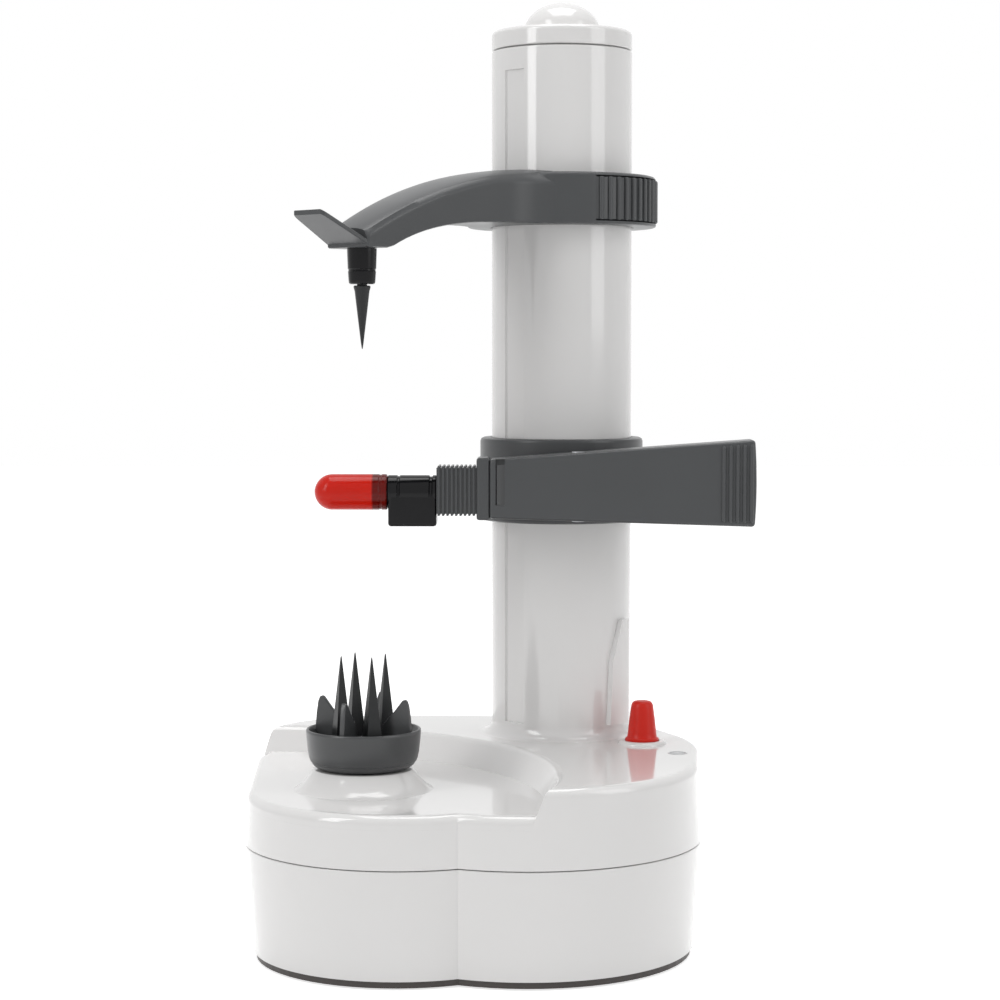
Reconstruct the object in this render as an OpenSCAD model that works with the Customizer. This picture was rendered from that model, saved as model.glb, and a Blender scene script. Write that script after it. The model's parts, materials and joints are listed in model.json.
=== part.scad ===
// Electric potato peeler. A motor in the base turns a spiked cup and, through the same gears,
// a lead screw inside the column. The screw moves the blade carriage up or down the column
// while a sliding upper arm holds the top of the potato with a free-turning spike.
// Origin: on the column's axis in the plane of the feet. Millimetres, +Z up, +Y to the back.

/* [Base] */
// Height of the rubber feet below the bottom plate
foot_h = 0.6; // [0.4:0.1:1.4]
// Radius of each rubber foot
foot_r = 6; // [4:0.5:7]
// Thickness of the bottom plate
plate_t = 2; // [1.6:0.1:2.6]
// Inset of the bottom plate from the wall above it
plate_inset = 0.8; // [0.4:0.1:1.6]
// Height of the seam between the lower and the upper housing
seam_z = 34.7; // [33.5:0.1:36]
// Width of the open groove at the seam
seam_gap = 0.5; // [0.3:0.1:0.8]
// Height of the lower deck, round the spiked cup
low_deck_z = 50; // [49:0.1:52]
// Step from the lower deck up to the upper deck
deck_step = 7.6; // [6:0.1:9]
// Wall thickness of both housings
shell_t = 2.2; // [1.8:0.1:2.6]
// Inward draft of the lower housing from the seam down to the plate
draft = 2.4; // [1.6:0.1:3.6]
// Edge radius where the walls meet the decks
deck_round = 2.6; // [1.5:0.1:3.4]

/* [Column] */
// Outer radius of the column
column_r = 22.3; // [21.8:0.1:22.8]
// Wall thickness of the column
column_wall = 2.2; // [1.8:0.1:2.6]
// Height of the seam below the top cap
column_top = 274.5; // [268:0.5:285]
// Width of the guide groove that faces the cup
groove_w = 7.6; // [6:0.1:9]
// Depth of the guide groove
groove_depth = 1; // [0.6:0.1:1.2]
// Width of the slot in the back that the carriage's tongue runs in
slot_w = 8; // [7:0.1:9]
// Height of the rim of the top cap
cap_rim_h = 6.4; // [5:0.1:8]
// Radius of the low dome on the top cap
cap_dome_r = 12; // [10:0.1:14]
// Height of that dome above the rim
cap_dome_h = 9.1; // [6:0.1:10]

/* [Spiked cup] */
// Distance of the cup's axis from the column's axis, to the left
cup_x = -59; // [-60:0.5:-56]
// Distance of the cup's axis from the column's axis, to the front
cup_y = -64; // [-64:0.5:-60]
// Radius of the cup at its widest
cup_r = 17.1; // [16:0.1:18]
// Height of the cup's rim
cup_rim_z = 68; // [66:0.1:70]
// Height of the underside of the cup
cup_floor_z = 56.4; // [56:0.1:58]
// Height of the tips of the four long spikes
spike_tip_z = 90; // [84:0.5:94]
// Radius of a long spike at its root
spike_root_r = 2.25; // [1.8:0.05:2.6]
// Radius of the spindle below the cup
spindle_r = 4; // [3.5:0.1:4.5]

/* [Drive] */
// Module of the gears between the cup and the lead screw
gear_module = 0.8; // [0.78:0.01:0.82]
// Module of the motor's pinion and of the gear it turns
motor_module = 0.5; // [0.45:0.01:0.52]
// Teeth of the cup's gear and of the lead screw's gear
end_teeth = 44; // [44:1:44]
// Teeth of the idler between them
idler_teeth = 66; // [66:1:66]
// Teeth of the motor's pinion, and of the small end of the compound gear
pinion_teeth = 12; // [12:1:13]
// Teeth of the large end of the compound gear
compound_teeth = 60; // [56:1:62]
// Width of the gear teeth
gear_w = 5; // [4:0.1:5.5]
// Height of the underside of the cup's gear
gear_z = 38; // [37.6:0.1:38.6]
// Thickness of the gear plate
gear_plate_t = 2; // [1.6:0.1:2.4]
// Height of the underside of the gear plate
gear_plate_z = 29.6; // [29:0.1:30]
// Lead of the screw: how far the carriage moves in one turn
screw_lead = 4; // [3:0.5:5]
// Outer radius of the lead screw's thread
screw_r = 5; // [4.5:0.1:5.5]
// Radius of the lead screw's journals
journal_r = 3; // [2.6:0.1:3.4]
// Radius of the motor's can
motor_r = 12; // [11:0.1:13]
// Length of the motor's can
motor_h = 24; // [20:0.1:24.4]

/* [Blade carriage] */
// Height of the underside of the carriage at rest
carriage_z = 126; // [124:0.5:130]
// Height of the carriage's collar
carriage_h = 26.4; // [24:0.1:28]
// Wall thickness of the collar round the column
collar_wall = 3.35; // [3:0.05:3.8]
// Distance of the peel arm's middle plane in front of the column's axis
arm_y = -37.6; // [-38.5:0.1:-37.4]
// Depth of the peel arm, front to back
arm_depth = 13; // [12.4:0.1:13.4]
// Right end of the peel arm
arm_right_x = 59; // [54:0.5:62]
// Left end of the peel arm
arm_left_x = -22; // [-24:0.5:-20]
// Height of the peel arm at its right end
arm_right_h = 26.4; // [24:0.1:28]
// Height of the peel arm at its left end
arm_left_h = 18; // [17:0.1:20]
// Wall thickness of the peel arm
arm_wall = 2; // [1.6:0.1:2.4]
// Distance of the peel arm's pivot to the right of the column's axis
pivot_x = 5; // [3:0.5:7]
// Radius of the pivot pin
pivot_r = 2; // [1.8:0.1:2.4]
// Radius of the blade guard
guard_r = 5.5; // [5.3:0.1:5.8]
// Length of the blade guard
guard_len = 22.4; // [21:0.1:24]

/* [Upper arm] */
// Height of the underside of the upper arm's ring at rest
ring_z = 219; // [215:0.5:222]
// Height of the ring
ring_h = 16; // [14:0.1:17]
// Wall thickness of the ring round the column
ring_wall = 7.35; // [6.85:0.05:8.35]
// Half the width of the arm where it leaves the ring
root_half_w = 14; // [12:0.1:15]
// Half the width of the arm at its tip
tip_half_w = 8.8; // [7:0.1:9.5]
// Height of the underside of the arm's tip below the ring
tip_drop = 9; // [7:0.1:10]
// Length of the finger tab beyond the spike's axis
tab_len = 21.4; // [18:0.1:24]
// Rise of the finger tab
tab_rise = 9; // [7:0.1:11]
// Length of the upper spike below its bush
top_spike_len = 18.6; // [16:0.1:20]
// Radius of the upper spike at its root
top_spike_r = 2.5; // [2.2:0.1:3]
// Radius of the black bush that the upper spike turns in
bush_r = 4.4; // [4:0.1:5]
// Height of that bush below the arm
bush_h = 10.5; // [9:0.1:12]

/* [Power button] */
// Distance of the red button to the right of the column's axis
button_x = 25.2; // [24.5:0.1:26]
// Distance of the red button from the column's axis, to the front
button_y = -25.5; // [-27:0.1:-25]
// Radius of the lip round the foot of the button
button_lip_r = 5.25; // [5:0.05:5.6]
// Radius of the button near its top
button_top_r = 3.4; // [3:0.05:3.8]
// Height of the button above the upper deck
button_h = 13.4; // [11:0.1:15]
// Travel of the button
button_travel = 2; // [1.5:0.1:2.2]

/* [Hidden] */
$fn = 64;
// clearances: between curved faces that pass each other, of a shaft in its bearing, and of a loose cover
gap = 0.35;
run = 0.05;
ease = 0.3;
eps = 0.01;
lobe_steps = 19;
lip_t = 1.7;
lip_h = 2;
lip_foot_z = seam_z - 6;

plate_z = foot_h;
wall_z = plate_z + plate_t;
deck_z = low_deck_z + deck_step;
cup_at = [cup_x, cup_y, 0];
cup_reach = norm([cup_x, cup_y]);
cup_angle = atan2(cup_y, cup_x);

// The base in plan: five round lobes, front left, front right, right, back right and back left.
// Each is [x, y, radius] at the seam. The outline runs round them counter-clockwise.
lobes = [[-47.8, -63, 46.5], [-10.5, -57, 52.3], [-12, -30, 55.6], [-2, 0, 34], [-56, -8, 42]];
// The step between the decks is an arc about this point at the lower deck. It leans back as it
// rises, by step_lean for each millimetre of height.
step_at = [-95, -88];
step_r = 90;
step_lean = [0.55, 0.72];
step_round = 1.4;
// Lean of the upper housing's wall for each millimetre of height
wall_lean = 0.05;

// Gears: pitch radii, places and the rotation that puts the teeth in mesh
end_pitch_r = gear_module * end_teeth / 2;
idler_pitch_r = gear_module * idler_teeth / 2;
small_pitch_r = gear_module * pinion_teeth / 2;
pinion_pitch_r = motor_module * pinion_teeth / 2;
compound_pitch_r = motor_module * compound_teeth / 2;
idler_reach = end_pitch_r + idler_pitch_r;
idler_side = sqrt(idler_reach * idler_reach - cup_reach * cup_reach / 4);
along = [cup_x, cup_y, 0] / cup_reach;
across = [-along.y, along.x, 0];
idler_at = cup_at / 2 + across * idler_side;
compound_at = idler_at - across * (idler_pitch_r + small_pitch_r);
motor_turn = 150;
motor_at = compound_at + (compound_pitch_r + pinion_pitch_r) * [cos(motor_turn), sin(motor_turn), 0];
compound_z = gear_plate_z + gear_plate_t + 1.2;
compound_w = 3.4;
small_top_z = gear_z + gear_w + 0.6;
pin_r = 1.5;

function bearing(a, b) = atan2(b.y - a.y, b.x - a.x);
// the rotation of gear b that meshes with gear a, which has na teeth and rotation ra
function in_mesh(ra, na, nb, to_b) = to_b + 180 - (180 - na * (to_b - ra)) / nb;
cup_gear_rot = bearing(cup_at, idler_at);
idler_rot = in_mesh(cup_gear_rot, end_teeth, idler_teeth, bearing(cup_at, idler_at));
screw_gear_rot = in_mesh(idler_rot, idler_teeth, end_teeth, bearing(idler_at, [0, 0, 0]));
small_rot = in_mesh(idler_rot, idler_teeth, pinion_teeth, bearing(idler_at, compound_at));
pinion_rot = in_mesh(0, compound_teeth, pinion_teeth, motor_turn);

// Column and lead screw
column_bore = column_r - column_wall;
column_foot_z = deck_z - shell_t - 3;
flange_r = column_r + 5;
foot_fillet = 4;
screw_foot_z = gear_plate_z;
thread_from = deck_z + 4;
thread_to = column_top - 16;
top_bearing_h = 5;
top_bearing_z = column_top - 12;
slot_from = deck_z + 5;
slot_to = column_top - 18;

// Carriage and peel arm
collar_bore = column_r + gap;
collar_r = collar_bore + collar_wall;
nut_z = carriage_z + 6;
nut_h = 14;
nut_r = 9;
tongue_w = slot_w - 0.6;
arm_front = arm_y - arm_depth / 2;
arm_back = arm_y + arm_depth / 2;
arm_mid_z = carriage_z + 12.5;
arm_right_z = carriage_z + 0.6;
arm_left_z = carriage_z + 3;
function arm_low(x) = arm_left_z + (arm_right_z - arm_left_z) * (x - arm_left_x) / (arm_right_x - arm_left_x);
function arm_high(x) = arm_left_z + arm_left_h
    + (arm_right_z + arm_right_h - arm_left_z - arm_left_h) * (x - arm_left_x) / (arm_right_x - arm_left_x);
pivot_low = arm_low(pivot_x);
pivot_high = arm_high(pivot_x);
boss_r = arm_depth / 2 - arm_wall - ease;
boss_z = pivot_low + arm_wall + ease + 0.6;
boss_h = 11;
blade_z = carriage_z + 10.8;
neck_len = 16.2;
collar_len = 4;
neck_left_x = arm_left_x - neck_len;
holder_len = 15.2;
holder_left_x = neck_left_x - holder_len;
spigot_len = 4;
spigot_r = guard_r - 1.3;
guard_right_x = holder_left_x;
blade_len = 16;

// Upper arm, measured along the line from the column's axis to the cup's axis
ring_bore = column_r + gap;
ring_r = ring_bore + ring_wall;
arm_from = 24;
arm_to = cup_reach + 6;
arm_rise = 1.5;
tip_z = ring_z - tip_drop;
release_turn = -27;
release_half_w = 20;
release_t = 3.4;
release_travel = 1.5;
release_in_r = ring_r - release_t;
release_wall_r = release_in_r - release_travel - 0.4;
rib_count = 14;
rib_step = 6;

// Electrics in the base
cell_r = 7.25;
cell_len = 50.5;
cell_pitch = 2 * cell_r + 0.6;
cell_z = wall_z + 2.4 + cell_r;
battery_at = [-28, -64, 0];
battery_w = 4 * cell_pitch + 1;
battery_len = cell_len + 6;
battery_wall = 1.6;
screw_spots = [[-80, -34], [-62, 24], [22, -74], [-41, -99]];
boss_out_r = 4;
screw_shank_r = 1.5;
foot_spots = [[0, 0], [-74, 8], [-72, -74], [8, -84]];
jack_at = [-22, 0, 0];
jack_z = 19;
jack_r = 5;
jack_bore_r = 2.8;
jack_depth = 9;
board_at = [26, -34, 0];
board_z = seam_z + 1;
board_t = 1.6;
button_lip_z = deck_z + 0.6;
button_recess_r = button_lip_r + ease;
button_recess_z = button_lip_z - button_travel - 0.3;
button_stem_r = 3;
stem_low_z = board_z + board_t + 9.4 + button_travel;

// ---- Shapes used by more than one piece ----

// outline of the base, every lobe's radius made smaller by inset
function lobe_angle(a, b) = bearing(a, b) - acos((a[2] - b[2]) / norm([b.x - a.x, b.y - a.y]));
function cleft_angle(a, b, inset, side) =
    let (d = norm([b.x - a.x, b.y - a.y]), ra = a[2] - inset, rb = b[2] - inset)
    bearing(a, b) + side * acos((d * d + ra * ra - rb * rb) / (2 * d * ra));
function ahead(angle, start) = angle < start ? ahead(angle + 360, start) : angle;
function lobe_start(i, inset) = i == 1
    ? cleft_angle(lobes[1], lobes[0], inset, 1)
    : lobe_angle(lobes[(i + 4) % 5], lobes[i]);
function lobe_end(i, inset) = i == 0
    ? cleft_angle(lobes[0], lobes[1], inset, -1)
    : lobe_angle(lobes[i], lobes[(i + 1) % 5]);
function outline(inset) = [
    for (i = [0:4])
        let (a0 = lobe_start(i, inset), a1 = ahead(lobe_end(i, inset), a0), r = lobes[i][2] - inset)
        for (k = [0:lobe_steps])
            let (a = a0 + (a1 - a0) * k / lobe_steps)
            [lobes[i].x + r * cos(a), lobes[i].y + r * sin(a)]
];

// a closed solid through rings of points: each ring is counter-clockwise seen from above
module loft(rings) {
    n = len(rings[0]);
    m = len(rings);
    points = [for (ring = rings) for (p = ring) p];
    sides = [
        for (j = [0:m - 2])
            for (i = [0:n - 1])
                let (k = (i + 1) % n)
                [j * n + i, j * n + n + i, j * n + n + k, j * n + k]
    ];
    caps = [[for (i = [0:n - 1]) i], [for (i = [n - 1:-1:0]) (m - 1) * n + i]];
    polyhedron(points, concat(sides, caps), convexity = 6);
}

function ring_at(inset, z) = [for (p = outline(inset)) [p.x, p.y, z]];

// the solid of the upper housing from the seam up to a deck, with a rounded edge
module deck_body(inset, from, top, round) {
    foot = inset + wall_lean * (from - seam_z);
    rim = inset + wall_lean * (top - round - seam_z);
    loft(concat(
        [ring_at(foot, from)],
        [for (a = [0:22.5:90]) ring_at(rim + round * (1 - cos(a)), top - round + round * sin(a))]
    ));
}

// the side of the step where the lower deck lies, at a height, made bigger by grow
function step_ring(grow, z) =
    let (at = step_at + step_lean * (z - low_deck_z), r = step_r + grow)
    concat(
        [for (a = [-30:4:114]) [at.x + r * cos(a), at.y + r * sin(a), z]],
        [[at.x - r, at.y + r * 0.9, z], [at.x - r, at.y - r, z]]
    );

// what the step takes off the upper deck, with a rounded edge at the top
module step_side() {
    loft(concat(
        [step_ring(0, low_deck_z - 4)],
        [for (a = [0:22.5:90]) step_ring(step_round * (1 - cos(a)), deck_z - step_round * (1 - sin(a)))],
        [step_ring(step_round, deck_z + 1)]
    ));
}

// points of one involute gear, teeth thinned by backlash
function flank(r, rb) = r <= rb ? 0 : (tan(acos(rb / r)) - acos(rb / r) * PI / 180) * 180 / PI;
function gear_points(teeth, mod, backlash = 0.14) =
    let (
        rp = teeth * mod / 2,
        rb = rp * cos(20),
        ro = rp + 0.88 * mod,
        ri = rp - 1.25 * mod,
        half = 90 / teeth - backlash / 2 / rp * 180 / PI + flank(rp, rb),
        low = max(rb, ri + 0.1 * mod),
        radii = [for (k = [0:4]) low + (ro - low) * k / 4],
        root_half = (half - flank(low, rb)) * (teeth < 20 ? 0.72 : 1)
    )
    [
        for (i = [0:teeth - 1])
            let (a = 360 * i / teeth)
            each concat(
                [[ri, a - root_half]],
                [for (r = radii) [r, a - half + flank(r, rb)]],
                [for (k = [4:-1:0]) [radii[k], a + half - flank(radii[k], rb)]],
                [[ri, a + root_half]]
            )
    ];

module gear(teeth, mod, width, bore) {
    linear_extrude(width)
        difference() {
            polygon([for (p = gear_points(teeth, mod)) p[0] * [cos(p[1]), sin(p[1])]]);
            circle(bore);
        }
}

// a pan-head screw that points up, its head's underside at the origin
module screw_up(shank_r, len, head_r, head_h) {
    translate([0, 0, -head_h])
        difference() {
            cylinder(r = head_r, h = head_h);
            for (a = [0, 90])
                rotate([0, 0, a])
                    translate([-head_r * 0.65, -head_r * 0.12, -eps])
                        cube([head_r * 1.3, head_r * 0.24, head_h * 0.45]);
        }
    cylinder(r = shank_r, h = len);
}

module tube(r_out, r_in, h) {
    difference() {
        cylinder(r = r_out, h = h);
        translate([0, 0, -1])
            cylinder(r = r_in, h = h + 2);
    }
}

// a cylinder that points along +X
module rod_x(r, len) {
    rotate([0, 90, 0])
        cylinder(r = r, h = len);
}

// ---- Base ----

module upper_housing() {
    color("white")
        difference() {
            union() {
                difference() {
                    union() {
                        difference() {
                            deck_body(0, seam_z, deck_z, deck_round);
                            step_side();
                        }
                        deck_body(deck_nest, seam_z + 2, low_deck_z, deck_round);
                    }
                    difference() {
                        deck_body(shell_t, seam_z - 1, deck_z - shell_t, 1);
                        loft([step_ring(step_wall, low_deck_z - 6), step_ring(step_wall, deck_z)]);
                    }
                    deck_body(shell_t + deck_nest, seam_z - 1, low_deck_z - shell_t, 1);
                }
                pedestal();
                column_socket();
                button_boss();
                for (p = screw_spots)
                    post(p, seam_z + 0.2, boss_out_r);
                for (p = plate_posts)
                    post(p, gear_plate_z + gear_plate_t, 3);
                for (p = board_posts)
                    post(p, board_z + board_t, 2);
            }
            translate([0, 0, column_foot_z - 6])
                cylinder(r = column_r, h = 40);
            translate([0, 0, gear_z - 4])
                cylinder(r = flange_r + ease, h = column_foot_z + 3 - gear_z + 4);
            translate(cup_at + [0, 0, low_deck_z - 6])
                cylinder(r = bearing_r, h = 20);
            translate([button_x, button_y, button_recess_z])
                cylinder(r = button_recess_r, h = 10);
            translate([button_x, button_y, deck_z - 10])
                cylinder(r = button_stem_r + run, h = 20);
            translate(lens_at + [0, 0, deck_z - 1.2])
                cylinder(r = lens_r, h = 3);
            for (p = screw_spots)
                translate([p.x, p.y, seam_z - 1])
                    cylinder(r = screw_shank_r, h = 10);
            for (p = plate_posts)
                translate([p.x, p.y, gear_plate_z - 1])
                    cylinder(r = screw_shank_r, h = 10);
            for (a = column_screw_turns)
                rotate([0, 0, a])
                    translate([flange_r - 2.6, 0, column_foot_z])
                        cylinder(r = 1, h = 3 + shell_t - 0.8);
        }
}

pedestal_low_r = 20;
pedestal_top_r = 14.6;
pedestal_top_z = cup_floor_z - ease;
bearing_r = spindle_r + 2;
plate_posts = [[-84, -58], [-30, -86], [-36, 16], [12, -60]];
board_posts = [[18, -50], [34, -50]];
column_screw_turns = [20, 160, 215, 300];
lens_at = [35.3, -44.6, 0];
lens_r = 3;

// how far the lower deck's wall stands inside the upper deck's, and the step's wall thickness
deck_nest = 0.03;
step_wall = shell_t + 1;

// a post from a height up into the deck above it
function deck_over(p) = norm([p.x, p.y] - step_at) > step_r + 2 * shell_t ? deck_z : low_deck_z;
module post(p, from, r) {
    translate([p.x, p.y, from])
        cylinder(r = r, h = deck_over(p) - shell_t / 2 - from);
}

// the round shoulder under the cup
module pedestal() {
    translate(cup_at + [0, 0, low_deck_z - shell_t])
        cylinder(r = bearing_r + 2, h = shell_t);
    translate(cup_at + [0, 0, low_deck_z - eps])
        cylinder(r1 = pedestal_low_r, r2 = pedestal_top_r, h = pedestal_top_z - low_deck_z + eps);
}

// the collar that the column stands in, with a curved foot above the deck
module column_socket() {
    translate([0, 0, deck_z - shell_t])
        cylinder(r = flange_r + 2, h = shell_t - 0.2);
    translate([0, 0, deck_z - eps])
        rotate_extrude($fn = 96)
            difference() {
                translate([column_r - 1, 0])
                    square([foot_fillet + 1, foot_fillet]);
                translate([column_r + foot_fillet, foot_fillet])
                    circle(foot_fillet, $fn = 48);
            }
}

module button_boss() {
    translate([button_x, button_y, deck_z - 4])
        cylinder(r = button_recess_r + 2, h = 4 - eps);
    translate([button_x, button_y, deck_z - eps])
        cylinder(r1 = button_recess_r + 2, r2 = button_recess_r + 1, h = 1);
}

module lower_housing() {
    color("white")
        difference() {
            union() {
                // the wall, with a lip above it that locates the upper housing
                difference() {
                    loft([
                        ring_at(draft, wall_z),
                        ring_at(0, seam_z - seam_gap),
                        ring_at(shell_t + ease, seam_z - seam_gap),
                        ring_at(shell_t + ease, seam_z + lip_h)
                    ]);
                    loft([
                        ring_at(draft + shell_t, wall_z - 1),
                        ring_at(shell_t + draft / 4, lip_foot_z - 2),
                        ring_at(shell_t + lip_t, lip_foot_z),
                        ring_at(shell_t + lip_t, seam_z + lip_h + 1)
                    ]);
                }
                for (p = screw_spots)
                    boss_with_rib(p);
            }
            for (p = screw_spots) {
                translate([p.x, p.y, wall_z - 1])
                    cylinder(r = screw_shank_r + 0.3, h = seam_z);
                translate([p.x, p.y, seam_z])
                    cylinder(r = boss_out_r + ease, h = 10);
            }
            jack_cut();
        }
}

// a screw boss tied to the nearest wall by a rib
module boss_with_rib(p) {
    out = atan2(p.y - base_mid.y, p.x - base_mid.x);
    translate([p.x, p.y, wall_z])
        cylinder(r = boss_out_r, h = seam_z - wall_z);
    intersection() {
        loft([ring_at(draft + 1, wall_z), ring_at(1, seam_z - 4)]);
        translate([p.x, p.y, wall_z])
            rotate([0, 0, out])
                translate([boss_out_r - 1, -1, 0])
                    cube([24, 2, lip_foot_z - 3 - wall_z]);
    }
}

base_mid = [-26, -38];

module bottom_plate() {
    color("#3a3431")
        difference() {
            union() {
                loft([ring_at(draft + plate_inset, plate_z), ring_at(draft + plate_inset, wall_z)]);
                battery_walls();
            }
            translate(battery_at + [0, 0, plate_z + plate_t / 2])
                cube([door_w + 2 * ease, door_len + 2 * ease, plate_t * 3], center = true);
            for (p = screw_spots)
                translate([p.x, p.y, plate_z - 1]) {
                    cylinder(r = screw_shank_r + 0.3, h = 10);
                    cylinder(r = 3.2, h = 1 + 1.2);
                }
            for (p = foot_spots)
                translate([p.x, p.y, plate_z - 1])
                    cylinder(r = foot_r, h = 1 + foot_seat);
        }
}

foot_seat = 0.6;
door_w = 4 * cell_pitch - 3;
door_len = cell_len - 2;

// the walls round the cells, open at the top
module battery_walls() {
    translate(battery_at + [-battery_w / 2 - battery_wall, -battery_len / 2 - battery_wall, wall_z - eps])
        difference() {
            cube([battery_w + 2 * battery_wall, battery_len + 2 * battery_wall, 2 * cell_r + 3]);
            translate([battery_wall, battery_wall, -1])
                cube([battery_w, battery_len, 40]);
        }
}

module rubber_feet() {
    color("#202020")
        for (p = foot_spots)
            translate([p.x, p.y, 0])
                cylinder(r = foot_r, h = foot_h + foot_seat);
}

module battery_door() {
    color("#3a3431")
        difference() {
            union() {
                translate(battery_at + [-door_w / 2, -door_len / 2, plate_z])
                    cube([door_w, door_len, plate_t]);
                translate(battery_at + [-door_w / 2 + 0.5, -door_len / 2 + 0.5, plate_z + plate_t - eps])
                    cube([door_w - 1, door_len - 1, 0.8]);
            }
            translate(battery_at + [0, 0, plate_z - 1]) {
                cylinder(r = 1.5, h = 10);
                cylinder(r = 3, h = 1 + 1);
            }
            for (i = [-2:2])
                translate(battery_at + [i * 5 - 0.6, -door_len / 2 + 3, plate_z - 1])
                    cube([1.2, 6, 1.5]);
        }
}

module battery_door_screw() {
    color("silver")
        translate(battery_at + [0, 0, plate_z + 1])
            screw_up(1.5, 2.4, 2.6, 0.9);
}

module battery_cells() {
    color("#c8a24a")
        for (i = [0:3])
            translate(battery_at + [(i - 1.5) * cell_pitch, -cell_len / 2, cell_z])
                rotate([-90, 0, 0]) {
                    cylinder(r = cell_r, h = cell_len - 1.2);
                    cylinder(r = 2.6, h = cell_len);
                }
}

module battery_contacts() {
    color("silver")
        for (side = [-1, 1])
            for (i = [0, 1])
                translate(battery_at + [(i - 0.5) * 2 * cell_pitch, side * (battery_len / 2 - 0.3), cell_z])
                    cube([cell_pitch * 1.6, 0.6 - 2 * eps, 9], center = true);
}

module housing_screws() {
    color("silver")
        for (p = screw_spots)
            translate([p.x, p.y, plate_z + 1.2])
                screw_up(screw_shank_r, seam_z - plate_z + 6, 2.8, 1);
}

// place of the jack on the back wall of the base
jack_y = lobes[3][2] - 3;

// the hole for the jack in the back wall
module jack_cut() {
    translate([jack_at.x, jack_y - 6, jack_z])
        rotate([-90, 0, 0])
            cylinder(r = jack_r + ease, h = 14);
}

module dc_jack() {
    color("#1c1c1c")
        translate([jack_at.x, jack_y, jack_z])
            rotate([90, 0, 0])
                difference() {
                    union() {
                        cylinder(r = jack_r, h = 6);
                        translate([-6, -6, 1.8])
                            cube([12, 12, 11]);
                    }
                    translate([0, 0, -1])
                        cylinder(r = jack_bore_r, h = jack_depth + 1);
                }
}

module circuit_board() {
    color("#1f6b3a")
        difference() {
            translate(board_at + [-10.5, -19, board_z])
                cube([21, 36, board_t]);
            for (p = board_posts)
                translate([p.x, p.y, board_z - 1])
                    cylinder(r = 0.9, h = 5);
        }
}

module power_switch() {
    color("#222222")
        translate([button_x, button_y, board_z + board_t]) {
            translate([-6, -6, 0])
                cube([12, 12, 7.4]);
            cylinder(r = 2, h = 9.2);
        }
}

module power_button() {
    color("#cf2015")
        translate([button_x, button_y, button_lip_z]) {
            cylinder(r = button_lip_r, h = 1.2);
            rotate_extrude($fn = 64)
                polygon(concat(
                    [[0, 0.4], [button_lip_r - 0.5, 0.4]],
                    [for (a = [0:15:90])
                        [button_top_r - 1.4 + 1.4 * cos(a), button_h - 0.6 - 1.4 + 1.4 * sin(a)]],
                    [[0, button_h - 0.6]]
                ));
            translate([0, 0, stem_low_z - button_lip_z])
                cylinder(r = button_stem_r, h = button_lip_z - stem_low_z + eps);
        }
}

// the soft ring that keeps water out round the button's stem, under the deck
module button_seal() {
    color("#303030")
        translate([button_x, button_y, deck_z - 4 - 1.5])
            tube(button_stem_r + 2.2, button_stem_r + 0.1, 1.5);
}

module indicator_lens() {
    color("#a9adae")
        translate(lens_at + [0, 0, deck_z - 1.2])
            cylinder(r = lens_r, h = 1.4);
}

// ---- Drive ----

module motor() {
    color("silver")
        translate(motor_at + [0, 0, gear_plate_z - motor_h]) {
            difference() {
                cylinder(r = motor_r, h = motor_h);
                for (s = [-1, 1])
                    translate([s * 8, 0, motor_h - 4])
                        cylinder(r = 1, h = 5);
                translate([0, 0, motor_h - shaft_depth])
                    cylinder(r = shaft_r + run, h = shaft_depth + 1);
            }
        }
}

shaft_r = 1;
shaft_depth = 16;

module motor_shaft() {
    color("silver")
        translate(motor_at + [0, 0, gear_plate_z - shaft_depth + 0.2])
            cylinder(r = shaft_r, h = compound_z + compound_w + 0.6 - gear_plate_z + shaft_depth);
}

module motor_screws() {
    color("silver")
        for (s = [-1, 1])
            translate(motor_at + [s * 8, 0, gear_plate_z + gear_plate_t])
                rotate([180, 0, 0])
                    screw_up(1, gear_plate_t + 3, 1.8, 0.8);
}

module motor_pinion() {
    color("#c9a227")
        translate(motor_at + [0, 0, compound_z])
            rotate([0, 0, pinion_rot])
                gear(pinion_teeth, motor_module, compound_w, shaft_r);
}

module gear_plate() {
    color("#b8bcc0")
        difference() {
            translate([0, 0, gear_plate_z])
                union() {
                    linear_extrude(gear_plate_t)
                        polygon(concat(
                            [[-16, -16], [22, -20], [22, -62], [-24, -92], [-36, -92], [-88, -62],
                             [-88, -54], [-84, -24], [-80, 6], [-42, 22], [-30, 22]]
                        ));
                    cylinder(r = 22, h = gear_plate_t);
                }
            translate([0, 0, gear_plate_z - 1]) {
                cylinder(r = screw_bearing_r, h = 10);
                for (at = [idler_at, compound_at])
                    translate(at)
                        cylinder(r = pin_r, h = 10);
                translate(motor_at)
                    cylinder(r = 3, h = 10);
                for (s = [-1, 1])
                    translate(motor_at + [s * 8, 0, 0])
                        cylinder(r = 1, h = 10);
                for (p = plate_posts)
                    translate([p.x, p.y, 0])
                        cylinder(r = screw_shank_r, h = 10);
                for (p = screw_spots)
                    translate([p.x, p.y, 0])
                        cylinder(r = boss_out_r + 1, h = 10);
            }
        }
}

screw_bearing_r = journal_r + 2;

module gear_plate_screws() {
    color("silver")
        for (p = plate_posts)
            translate([p.x, p.y, gear_plate_z])
                screw_up(screw_shank_r, 7, 2.8, 1.4);
}

module compound_gear() {
    color("#e8e2cf")
        translate(compound_at) {
            translate([0, 0, compound_z])
                gear(compound_teeth, motor_module, compound_w, pin_r + run);
            translate([0, 0, compound_z + compound_w - eps])
                rotate([0, 0, small_rot])
                    gear(pinion_teeth, gear_module, small_top_z - compound_z - compound_w, pin_r + run);
        }
}

module compound_pin() {
    color("silver")
        translate(compound_at + [0, 0, gear_plate_z])
            union() {
                cylinder(r = pin_r, h = small_top_z + 1.5 - gear_plate_z);
                translate([0, 0, gear_plate_t])
                    cylinder(r = pin_r + 1.5, h = 0.8);
            }
}

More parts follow.
